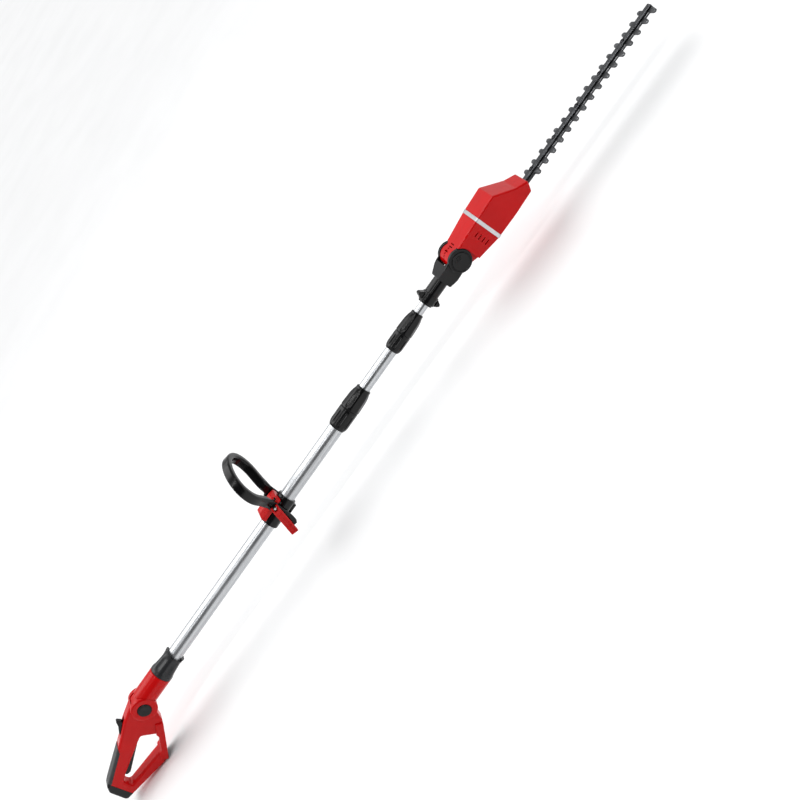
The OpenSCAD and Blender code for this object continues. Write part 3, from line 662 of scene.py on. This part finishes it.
def collar():
    low, high = span("neck_collar")[0].x, span("neck_collar")[1].x
    bore = 18.35
    form = lathe(
        [(low, bore), (low, 26.3), (low + 0.8, 27.2), (low + 2, 27.5), (low + 7, 27.5),
         (low + 10, 27.1, 0.4), (low + 14, 26.4, 1.9), (low + 20, 25.6, 2.6), (high - 28, 24.2, 2.6),
         (high - 20, 23.6, 2.2), (high - 14, 23.3, 1.0), (high - 10, 23.3), (high - 6, 23.5),
         (high - 3, 24.1), (high - 0.8, 24.5), (high, 23.9), (high, bore)],
        steps=192, groove=flutes(6, 0.62, math.pi / 6), closed=True,
    )
    notches = [
        block((high - 5, 14 * s if s > 0 else -34, -15), (high + 5, 34 if s > 0 else -14, 15), 1)
        for s in (-1, 1)
    ]
    piece("union_collar", cut(form, *notches), GREY, "collar", ["neck_collar"])


# ---- Pole ----


def tube(node, body):
    low, high = span(node)
    radius = high.y
    bore = radius - 1.2
    ease = 0.25
    form = lathe(
        [(low.x, bore + ease), (low.x, radius - ease), (low.x + ease, radius), (high.x - ease, radius),
         (high.x, radius - ease), (high.x, bore + ease), (high.x - ease, bore), (low.x + ease, bore)],
        steps=160, closed=True,
    )
    piece(node + "_drawn", form, ALUMINIUM, body, [node])


def clamp_base(node, body, sliding_radius):
    low, high = span(node)
    out = high.y
    seam = high.x - 18
    spigot = out - 3.5
    bore = sliding_radius + 0.35
    form = lathe(
        [(low.x, bore), (low.x, out - 4.2), (low.x + 1, out - 3.3), (low.x + 6, out - 1.2),
         (low.x + 9, out - 0.5, 0.5), (low.x + 12, out - 0.1, 1.7), (low.x + 15, out, 2),
         (seam - 12, out, 2), (seam - 9, out, 1.7), (seam - 6, out, 0.0), (seam - 1, out),
         (seam, out - 0.8), (seam, spigot), (high.x, spigot), (high.x, bore)],
        steps=192, groove=flutes(8, 0.3), closed=True,
    )
    piece(node + "_moulded", form, BLACK, body, [node])


def clamp_nut(node, body, sliding_radius):
    low, high = span(node)
    out = high.y
    bore = sliding_radius + 0.55
    taper = sliding_radius + 3.6
    form = lathe(
        [(low.x, bore), (low.x, out - 1.8), (low.x + 0.8, out - 0.8), (low.x + 3.4, out),
         (low.x + 5, out - 0.1, 0.2), (low.x + 8, out - 0.2, 0.9), (low.x + 12, out - 0.3, 1.2),
         (high.x - 24, out - 1.3, 1.2), (high.x - 14, out - 3, 0.7), (high.x - 7, taper + 0.3, 0),
         (high.x - 5.5, taper), (high.x - 4, taper + 0.2),
         (high.x - 2, taper + 0.1), (high.x - 0.5, taper - 0.7), (high.x, taper - 1.4), (high.x, bore)],
        steps=192, groove=flutes(8, 0.8, math.pi / 8), closed=True,
    )
    piece(node + "_moulded", form, BLACK, body, [node])


def pole():
    tube("outer_tube", "pole")
    tube("middle_tube", "middle")
    tube("inner_tube", "inner")
    middle_radius = span("middle_tube")[1].y
    inner_radius = span("inner_tube")[1].y
    clamp_base("lower_clamp_base", "pole", middle_radius)
    clamp_nut("lower_clamp_nut", "lower_nut", middle_radius)
    clamp_base("upper_clamp_base", "middle", inner_radius)
    clamp_nut("upper_clamp_nut", "upper_nut", inner_radius)


# ---- Yoke and tilt lock ----


def yoke():
    start = span("yoke")[0].x
    half = span("yoke")[1].y
    shoulder = start + 62
    fork = shoulder + 24
    neck_form = lathe(
        [(start, 0), (start, 16), (start + 1, 17), (shoulder + 4, 17), (shoulder + 4, 0)], steps=96
    )
    outline = [
        (shoulder, -18), (shoulder, 18), (1488, 25), (PIVOT.x, 27), (PIVOT.x, -16), (1480, -18),
    ]
    arms = slab(with_round_corners(outline, [3, 3, 8, 0, 0, 20], 4), -half, half,
                fillet(2.5, 3), fillet(2.5, 3))
    disc = lathe(
        [(-half, 0), (-half, 25.2), (-half + 0.8, 26.8), (-half + 2.5, 27.4),
         (half - 2.5, 27.4), (half - 0.8, 26.8), (half, 25.2), (half, 0)],
        "Y", (PIVOT.x, 0, PIVOT.z), 128,
    )
    spine = [rod(start + 24, shoulder + 14, 2.4, "X", (0, s * 13.5, 10), 1, 24) for s in (-1, 1)]
    form = fused(arms, disc, neck_form, *spine)
    inner = 24.6
    wedges = [
        prism([(shoulder - 2, s * 19), (1487, s * 32), (shoulder - 2, s * 32)], -60, 60, "XY")
        for s in (-1, 1)
    ]
    form = cut(
        form,
        rod(start - 1, 1450, 11.05),
        rod(-inner, inner, 26.6, "Y", (PIVOT.x, 0, PIVOT.z), steps=128),
        block((fork + 7.5, -inner, -60), (PIVOT.x + 60, inner, 60)),
        block((fork, -inner, -60), (PIVOT.x, inner, PIVOT.z + 1)),
        rod(-half - 1, half + 1, 5.05, "Y", (PIVOT.x, 0, PIVOT.z)),
        rod(start - 4, 1500, 2.4, "X", (0, 0, 13.5)),
        block((start - 4, -2.3, 13.5), (1426, 2.3, 18)),
        *wedges,
    )
    piece("yoke_moulded", form, BLACK, "inner", ["yoke"])


def pivot_caps():
    """Round covers over the tilt pivot: a dished face with raised arcs."""
    for side, node in [(-1, "pivot_cap_left"), (1, "pivot_cap_right")]:
        inner, outer = 31 * side, 36 * side
        cover = lathe(
            [(inner, 0), (inner, 27.5), (outer - 2.6 * side, 27.5), (outer - 1.6 * side, 26.8),
             (outer - 1.2 * side, 25.4), (outer - 1.2 * side, 23), (outer - 2.0 * side, 22.2),
             (outer - 2.0 * side, 20.8), (outer, 19.8), (outer, 18.6), (outer - 0.9 * side, 16),
             (outer - 1.2 * side, 0)],
            "Y", (PIVOT.x, 0, PIVOT.z), 128,
        )
        arcs = []
        for radius in (4.5, 8.5, 12.5):
            path = []
            for k in range(25):
                angle = math.radians(40 + 100 * k / 24)
                path.append(Vector((radius * math.cos(angle), radius * math.sin(angle))))
            centre = Vector((PIVOT.x, PIVOT.z))
            ridge = [centre + p * (1 + 0.9 / radius) for p in path]
            ridge += [centre + p * (1 - 0.9 / radius) for p in reversed(path)]
            low, high = sorted((outer - 1.6 * side, outer - 0.1 * side))
            arcs.append(slab(ridge, low, high, chamfer(0.3), chamfer(0.3)))
        piece(node + "_moulded", together(cover, *arcs), BLACK, "inner", [node])


def tilt_lock():
    low, high = span("tilt_lock_sleeve")
    ring = lathe(
        [(low.x, 17.3), (low.x, 19), (low.x + 1, 20), (low.x + 6, 20), (low.x + 8, 19.4),
         (low.x + 14, 19.4), (low.x + 16, 20), (high.x - 1, 20), (high.x, 19), (high.x, 17.3)],
        steps=96, closed=True,
    )
    tabs = []
    for side in (-1, 1):
        outline = [(low.x + 1.5, 18 * side), (low.x + 5, 27 * side), (low.x + 9, 31 * side),
                   (low.x + 13.5, 28.5 * side), (low.x + 20, 18 * side)]
        tab = slab(with_round_corners(outline, [1, 4, 3, 4, 1], 4), -9, 9, fillet(2, 3), fillet(2, 3))
        ridges = [
            rod(-10, 10, 0.8, "Y", (low.x + 2.4 + 1.5 * k, 0, side * (21 + 3 * k)), steps=16)
            for k in range(3)
        ]
        tabs.append(cut(tab, *ridges))
    form = cut(fused(ring, *tabs), rod(low.x - 1, high.x + 1, 17.3))
    piece("tilt_lock_slider", form, BLACK, "tilt_lock", ["tilt_lock_sleeve"])


# ---- Motor head ----

HEAD_SIDE = [
    (1535, 28.5), (1577, 32.4), (1605, 34.9), (1668, 37.5), (1712, 0), (1740, -14), (1727, -36),
    (1605, -36), (1577, -32.4), (1547, -28.6), (1535, -24.5),
]
HEAD_HALF_WIDTHS = [(1535, 33.5), (1577, 36), (1605, 38), (1668, 39.4), (1712, 35.5), (1741, 33)]
HEAD_SCREWS = [(1560, 24), (1560, -23), (1636, 22), (1696, 5), (1722, -14.5)]
BAND_START, BAND_END = 1605, 1614


def head_half_width(x):
    """Half the housing's width at x, between the listed places."""
    for (x0, w0), (x1, w1) in zip(HEAD_HALF_WIDTHS, HEAD_HALF_WIDTHS[1:]):
        if x <= x1:
            return w0 + (w1 - w0) * max(0.0, (x - x0) / (x1 - x0))
    return HEAD_HALF_WIDTHS[-1][1]


def head_box():
    """The faceted housing: the side outline as a plate, narrowed along its length."""
    full = 40
    corners = [0, 0, 0, 6, 9, 5, 5, 0, 0, 0, 0]
    outline = with_round_corners(HEAD_SIDE, corners, 4)
    form = slab(outline, -full, full, fillet(4.5, 5), fillet(4.5, 5))
    for x, _ in HEAD_HALF_WIDTHS[1:-1]:
        bmesh.ops.bisect_plane(
            form, geom=form.verts[:] + form.edges[:] + form.faces[:],
            plane_co=(x, 0, 0), plane_no=(1, 0, 0),
        )
    for v in form.verts:
        v.co.y *= head_half_width(v.co.x) / full
    return form


def head():
    swing = 29
    inner = 24
    end = inner - 0.1
    barrel = lathe(
        [(-end, 0), (-end, 24.5), (-end + 1.5, 26), (end - 1.5, 26), (end, 24.5), (end, 0)],
        "Y", (PIVOT.x, 0, PIVOT.z), 160,
    )
    throat = prism([(1513, 26.3), (1545, 29.2), (1545, -27.5), (1513, -18.5)], -inner + 0.3, inner - 0.3)
    form = fused(head_box(), barrel, throat)
    slots = []
    for z in (13.5, 3.5, -7, -17.5):
        slot = [(1577, z - 1.2), (1590, z - 1.2), (1590, z + 1.2), (1577, z + 1.2)]
        slots += [prism(with_round_corners(slot, 1.1, 3), low, low + 30) for low in (-60, 30)]
    top_slots = [block((x, -8, 20), (x + 2.5, 8, 40)) for x in (1516, 1529, 1536)]
    notches = []
    for k in range(7):
        place = Matrix.Translation((PIVOT.x, 0, PIVOT.z))
        turn = place @ Matrix.Rotation(math.radians(15 * k - 163), 4, "Y")
        notch = rod(23, 28, 2.6, steps=24)
        notch.transform(turn)
        notches.append(notch)
    band = slab(
        [(-60, -60), (60, -60), (60, 60), (-60, 60)], BAND_START, BAND_END, [(0, 0)], [(0, 0)],
        [band_outline(-1.8)], "YZ",
    )
    form = cut(
        form,
        band,
        rod(-60, -inner, swing, "Y", (PIVOT.x, 0, PIVOT.z), steps=128),
        rod(inner, 60, swing, "Y", (PIVOT.x, 0, PIVOT.z), steps=128),
        block((1480, -60.5, -60), (1546.5, -inner - 0.05, PIVOT.z - 0.3)),
        block((1480, inner + 0.05, -60), (1546.5, 60.5, PIVOT.z - 0.3)),
        together(*slots, *top_slots),
        together(*notches),
        rod(-60, 60, 5.05, "Y", (PIVOT.x, 0, PIVOT.z)),
        rod(1550, 1628, 20.5),
        block((1627, -33, -33), (1690, 33, 10)),
        block((1689, -31, -33), (1713, 31, -5)),
        block((1707, -14, -34), (1760, 14, -19.1)),
        *screw_wells(HEAD_SCREWS, 3.5, 26),
    )
    left, right = halves(form)
    piece("head_half_left", left, RED, "head", ["head_shell_left"])
    piece("head_half_right", right, RED, "head", ["head_shell_right"])
    ring = slab(
        with_round_corners(band_outline(0.6), 3.8, 5), BAND_START + 0.2, BAND_END - 0.2,
        chamfer(0.4), chamfer(0.4), [with_round_corners(band_outline(-1.6), 2, 5)], "YZ",
    )
    piece("silver_band", ring, SILVER, "head", ["trim_band"])
    screws("head_torx", HEAD_SCREWS, 31, 3, "head", "head_screws")


def band_outline(grow):
    """The band's outline in Y and Z, grown outwards."""
    y, low, high = 38 + grow, -36 - grow, 35 + grow
    return [Vector(p) for p in [(-y, low), (y, low), (y, high), (-y, high)]]


# ---- Blades ----


def blades():
    """Laser-cut blades with the outer edges of every tooth ground bright."""
    for node, top in [("upper_blade", True), ("lower_blade", False)]:
        low, high = span(node)
        face = high.z if top else low.z
        bm = cad_mesh(node)
        rim = [
            e for e in bm.edges
            if len(e.link_faces) == 2 and e.calc_face_angle() > 1
            and all(abs(v.co.z - face) < 0.01 for v in e.verts)
            and max(abs(v.co.y) for v in e.verts) > 11.5 and e.verts[0].co.x > 1750
        ]
        ground = bmesh.ops.bevel(
            bm, geom=rim, offset=1.1, segments=1, profile=0.5, affect="EDGES", clamp_overlap=False
        )
        for f in ground["faces"]:
            f.material_index = 1
        made = piece(node + "_ground", bm, BLADE, node, [node], sharp=25)
        made.data.materials.append(GROUND)


def support_bar():
    low, high = span("support_bar")
    outline = [(low.x, high.y), (low.x, low.y), (high.x, low.y), (high.x, high.y)]
    outline = with_round_corners(outline, 2)
    bar = slab(outline, low.z, high.z, chamfer(0.3), chamfer(1.9), plane="XY")
    piece("support_bar_rolled", bar, BAR, "head", ["support_bar"])


def bolt_places():
    low = span("blade_bolts")[0].x + 5.5
    return [low + 81 * k for k in range(5)]


def blade_bolts():
    top = span("blade_bolts")[1].z
    bottom = span("blade_bolts")[0].z
    bolts, nuts = [], []
    for x in bolt_places():
        head = lathe(
            [(top - 2.4, 0), (top - 2.4, 5.5), (top - 1.6, 5.4), (top - 0.7, 4.6), (top - 0.1, 3.3),
             (top, 2.4), (top, 0)],
            "Z", (x, 0, 0), 48,
        )
        socket = lathe([(top - 1.6, 0), (top - 1.6, 1.7), (top + 1, 1.7), (top + 1, 0)], "Z", (x, 0, 0), 6)
        bolts.append(cut(head, socket))
        bolts.append(rod(bottom, top - 2.4, 2.5, "Z", (x, 0, 0), 0.3, 32))
        low, high = span("blade_nuts")[0].z, span("blade_nuts")[1].z
        nuts.append(lathe(
            [(low, 2.55), (low, 4.4), (low + 0.5, 5), (high - 0.8, 5), (high - 0.8, 2.55)],
            "Z", (x, 0, 0), 6, closed=True,
        ))
        nuts.append(lathe(
            [(high - 0.8, 2.55), (high - 0.8, 6.2), (high - 0.4, 6.5), (high, 6.4), (high, 2.55)],
            "Z", (x, 0, 0), 48, closed=True,
        ))
    piece("blade_bolt_heads", together(*bolts), OXIDE, "head", ["blade_bolts"])
    piece("blade_lock_nuts", together(*nuts), OXIDE, "head", ["blade_nuts"])


# ---- Loop handle and its clamp ----

LOOP_LEAN = math.radians(9)
LOOP_SKEW = 0.2
LEG_Y = 26.95
REACH = 59
LOOP_TOP = 168


def cubic(a, b, c, d, t):
    """A point on the cubic curve with these four control points."""
    a, b, c, d = Vector(a), Vector(b), Vector(c), Vector(d)
    s = 1 - t
    return s**3 * a + 3 * s * s * t * b + 3 * s * t * t * c + t**3 * d


def loop_path():
    """The loop's centre line in Y and Z on the +Y side, then back down the other side."""
    side = [Vector((LEG_Y, z)) for z in (-44, -43, -40, -34, -26, -16, -6, 6, 18, 30, 38)]
    steps = 18
    flank = [(LEG_Y + 3, 46), (LEG_Y + 11, 76), (REACH, 84), (REACH, 116)]
    arch = [(REACH, 116), (REACH, 146), (32, LOOP_TOP), (0, LOOP_TOP)]
    side += [cubic(*flank, k / steps) for k in range(steps + 1)]
    side += [cubic(*arch, k / steps) for k in range(1, steps + 1)]
    return side + [Vector((-p.x, p.y)) for p in reversed(side[:-1])]


def loop_section(z):
    """Half the band's width and half its thickness at a height."""
    full = min(1.0, max(0.0, (z - 38) / 16))
    thick = 3.75 + 3.75 * full * full * (3 - 2 * full)
    foot = min(1.0, max(0.0, (-z - 14) / 30))
    width = 11 - 5 * foot * foot
    if z < -42:
        width, thick = width - 2, thick - 1.6
    return width, thick


def swept(path, section):
    """A solid swept along a path in Y and Z; section(z) gives half width along X and half thickness."""
    bm = bmesh.new()
    rings = []
    for i, here in enumerate(path):
        ahead = (path[min(i + 1, len(path) - 1)] - path[max(i - 1, 0)]).normalized()
        across = Vector((ahead.y, -ahead.x))
        width, thick = section(here.y)
        box = [Vector(p) for p in [(-width, -thick), (width, -thick), (width, thick), (-width, thick)]]
        ring = []
        for p in with_round_corners(box, min(thick * 0.93, 5.2), 6):
            flat = here + across * p.y
            ring.append(bm.verts.new((p.x, flat.x, flat.y)))
        rings.append(ring)
    for a, b in zip(rings, rings[1:]):
        for k in range(len(a)):
            n = (k + 1) % len(a)
            bm.faces.new((a[k], a[n], b[n], b[k]))
    bm.faces.new(rings[0])
    bm.faces.new(reversed(rings[-1]))
    bmesh.ops.recalc_face_normals(bm, faces=bm.faces[:])
    return bm


def loop_handle():
    bolt = (CLAMP_BOLT.x, 0, CLAMP_BOLT.z)
    skew = Matrix.Identity(4)
    skew[0][1] = LOOP_SKEW
    lean = (
        Matrix.Translation((CLAMP_BOLT.x + 4, 0, CLAMP_BOLT.z))
        @ skew
        @ Matrix.Rotation(LOOP_LEAN, 4, "Y")
        @ Matrix.Translation((0, 0, -CLAMP_BOLT.z))
    )
    form = swept(loop_path(), loop_section)
    form.transform(lean)
    eyes = [rod(low, low + 7.4, 10, "Y", bolt, 0.8, 64) for low in (23.25, -30.65)]
    form = cut(fused(form, *eyes), rod(-60, 60, 3.05, "Y", bolt, steps=32))
    piece("loop_grip", form, BLACK, "loop", ["loop_handle"])


def loop_clamp():
    low, high = span("tube_clamp_left")[0].x, span("tube_clamp_left")[1].x
    bolt = CLAMP_BOLT
    sleeve = lathe(
        [(low, 0), (low, 21), (low + 0.6, 22), (low + 2, 22.5), (high - 2, 22.5), (high - 0.6, 22),
         (high, 21), (high, 0)],
        steps=128,
    )
    lug = block((bolt.x - 14, -20, 12), (bolt.x + 14, 20, bolt.z + 5), 1.5)
    foot = block((bolt.x - 20, -9, -28), (bolt.x + 20, 9, -16), 1.5)
    ledges = [rod(low + 3, high - 3, 1, "X", (0, 22 * s, 4), 0.4, 16) for s in (-1, 1)]
    form = cut(
        fused(sleeve, lug, foot, *ledges),
        rod(low - 1, high + 1, 18.35),
        rod(-21, 21, 3.05, "Y", (bolt.x, 0, bolt.z), steps=32),
    )
    left, right = halves(form, 0.7)
    piece("clamp_half_left", left, BLACK, "aux_clamp", ["tube_clamp_left"])
    piece("clamp_half_right", right, BLACK, "aux_clamp", ["tube_clamp_right"])
    piece("saddle_moulded", from_cad("clamp_saddle", 1.2, 3.0), LEVER_RED, "aux_clamp", ["clamp_saddle"])


def clamp_lever():
    low = span("clamp_bolt")[0].y
    frame_of_lever = Matrix.Translation((CLAMP_BOLT.x, low + 4, CLAMP_BOLT.z)) @ Matrix.Rotation(
        math.radians(20), 4, "Y"
    )
    form = fused(
        rod(-9, 9, 5, edge=0.6, steps=48),
        block((-9, -6.5, -74), (9, 1.5, 0), 1.2),
        block((-9, -8.5, -80), (9, 1.5, -56), 1.6),
    )
    grooves = [block((-6.5, -9.5, -76 + 4 * k), (6.5, -7.4, -74.2 + 4 * k), 0.5) for k in range(5)]
    ribs = [block((x - 1.2, -7.6, -52), (x + 1.2, -5.2, -12), 0.6) for x in (-4.6, 0, 4.6)]
    form = cut(
        form,
        together(*grooves),
        together(*ribs),
        rod(-10, 10, 1.55, steps=24),
        block((-4.5, -10, -6), (4.5, 10, 7)),
    )
    form.transform(frame_of_lever)
    piece("lever_moulded", form, LEVER_RED, "lever", ["clamp_lever"])


def clamp_bolt():
    low, high = span("clamp_bolt")[0].y, span("clamp_bolt")[1].y
    head = lathe(
        [(high - 4, 0), (high - 4, 6.5), (high - 1.6, 6.5), (high - 0.4, 5.6), (high, 4), (high, 0)],
        "Y", (CLAMP_BOLT.x, 0, CLAMP_BOLT.z), 48,
    )
    socket = lathe([(high - 2.2, 0), (high - 2.2, 2.4), (high + 1, 2.4), (high + 1, 0)],
                   "Y", (CLAMP_BOLT.x, 0, CLAMP_BOLT.z), 6)
    shank = rod(low, high - 4, 3, "Y", (CLAMP_BOLT.x, 0, CLAMP_BOLT.z), 0.4, 32)
    piece("clamp_bolt_turned", together(cut(head, socket), shank), STEEL, "loop", ["clamp_bolt"])


# ---- Pieces that keep their CAD shape ----

KEPT = {
    "contact_blades": BRASS, "hinge_pin": STEEL, "trigger_spring": STEEL, "spiral_cable": JACKET,
    "lower_collet": GREY, "middle_bush": GREY, "upper_collet": GREY, "inner_bush": GREY,
    "pivot_bolt": STEEL, "tilt_lock_pin": STEEL, "tilt_lock_spring": STEEL, "motor_can": MOTOR,
    "gear_plate": ALLOY, "shaft_bearings": STEEL, "motor_shaft": MOTOR, "drive_gear": ALLOY,
    "crank_shaft": STEEL, "lever_pin": STEEL,
}


def dress_kept_nodes():
    for node, look in KEPT.items():
        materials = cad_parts[node].data.materials
        materials.clear()
        materials.append(look)


handle()
handle_controls()
battery_rail()
neck()
collar()
pole()
yoke()
pivot_caps()
tilt_lock()
head()
blades()
support_bar()
blade_bolts()
loop_handle()
loop_clamp()
clamp_lever()
clamp_bolt()
dress_kept_nodes()


# ---- Studio ----


def floor():
    """A wide pale sweep with a faint mottle."""
    bm = bmesh.new()
    bmesh.ops.create_grid(bm, x_segments=8, y_segments=8, size=60)
    mesh = bpy.data.meshes.new("studio_floor")
    bm.to_mesh(mesh)
    bm.free()
    f = Finish("studio_paper", Roughness=0.9)
    f.shader.inputs["Specular IOR Level"].default_value = 0.1
    mottle = f.ramp(f.noise(400, 3), [(0.3, srgb(246, 246, 246)), (0.7, srgb(250, 250, 250))])
    mesh.materials.append(f.use(Base_Color=mottle))
    made = bpy.data.objects.new("studio_floor", mesh)
    bpy.context.scene.collection.objects.link(made)


def lamp(name, place, target, size, power):
    """A rectangular area lamp that points at target."""
    data = bpy.data.lights.new(name, "AREA")
    data.shape = "RECTANGLE"
    data.size, data.size_y = size
    data.energy = power
    made = bpy.data.objects.new(name, data)
    made.location = place
    made.rotation_euler = (Vector(target) - Vector(place)).to_track_quat("-Z", "Y").to_euler()
    bpy.context.scene.collection.objects.link(made)


def room():
    """A pale room that is dark behind the camera, so that shiny sides show their shape."""
    world = bpy.data.worlds.new("studio")
    world.use_nodes = True
    tree = world.node_tree
    sky = tree.nodes["Background"]
    place = tree.nodes.new("ShaderNodeTexCoord")
    facing = tree.nodes.new("ShaderNodeVectorMath")
    facing.operation = "DOT_PRODUCT"
    facing.inputs[1].default_value = Vector((0.18, -0.9, 0.4)).normalized()
    shade = tree.nodes.new("ShaderNodeMapRange")
    shade.interpolation_type = "SMOOTHSTEP"
    dark_patch = {"From Min": 0.5, "From Max": 0.9, "To Min": 0.68, "To Max": 0.08}
    for socket, value in dark_patch.items():
        shade.inputs[socket].default_value = value
    tree.links.new(place.outputs["Generated"], facing.inputs[0])
    tree.links.new(facing.outputs["Value"], shade.inputs["Value"])
    tree.links.new(shade.outputs[0], sky.inputs["Strength"])
    sky.inputs["Color"].default_value = (0.98, 0.99, 1, 1)
    bpy.context.scene.world = world


def sun(name, direction, strength, spread):
    data = bpy.data.lights.new(name, "SUN")
    data.energy = strength
    data.angle = math.radians(spread)
    made = bpy.data.objects.new(name, data)
    made.rotation_euler = (-Vector(direction)).to_track_quat("-Z", "Y").to_euler()
    bpy.context.scene.collection.objects.link(made)


def studio():
    floor()
    room()
    sun("overhead", (-0.25, 0.35, 1), 1.6, 50)
    lamp("strip", (0, -1.5, 2.6), (0, 0, 0.1), (4.2, 0.09), 22)
    lamp("rim", (0, 2.4, 2.2), (0, 0, 0.1), (4.0, 0.5), 10)


def camera():
    """The viewpoint: above the pole's near side, rolled so that the pole climbs to the right."""
    azimuth, elevation, roll = (math.radians(a) for a in (10.364, 29.594, -59.426))
    target = Vector((0.0911, 0, 0.0509))
    away = Vector((
        math.sin(azimuth) * math.cos(elevation),
        -math.cos(azimuth) * math.cos(elevation),
        math.sin(elevation),
    ))
    level = Vector((math.cos(azimuth), math.sin(azimuth), 0))
    up = away.cross(level)
    right = level * math.cos(roll) + up * math.sin(roll)
    data = bpy.data.cameras.new("camera")
    data.sensor_width = 36
    data.lens = 54
    made = bpy.data.objects.new("camera", data)
    turn = Matrix((right, away.cross(right), away)).transposed().to_4x4()
    made.matrix_world = Matrix.Translation(target + away * 2.7133) @ turn
    bpy.context.scene.collection.objects.link(made)
    bpy.context.scene.camera = made


studio()
camera()
bpy.context.scene.view_settings.view_transform = "Standard"
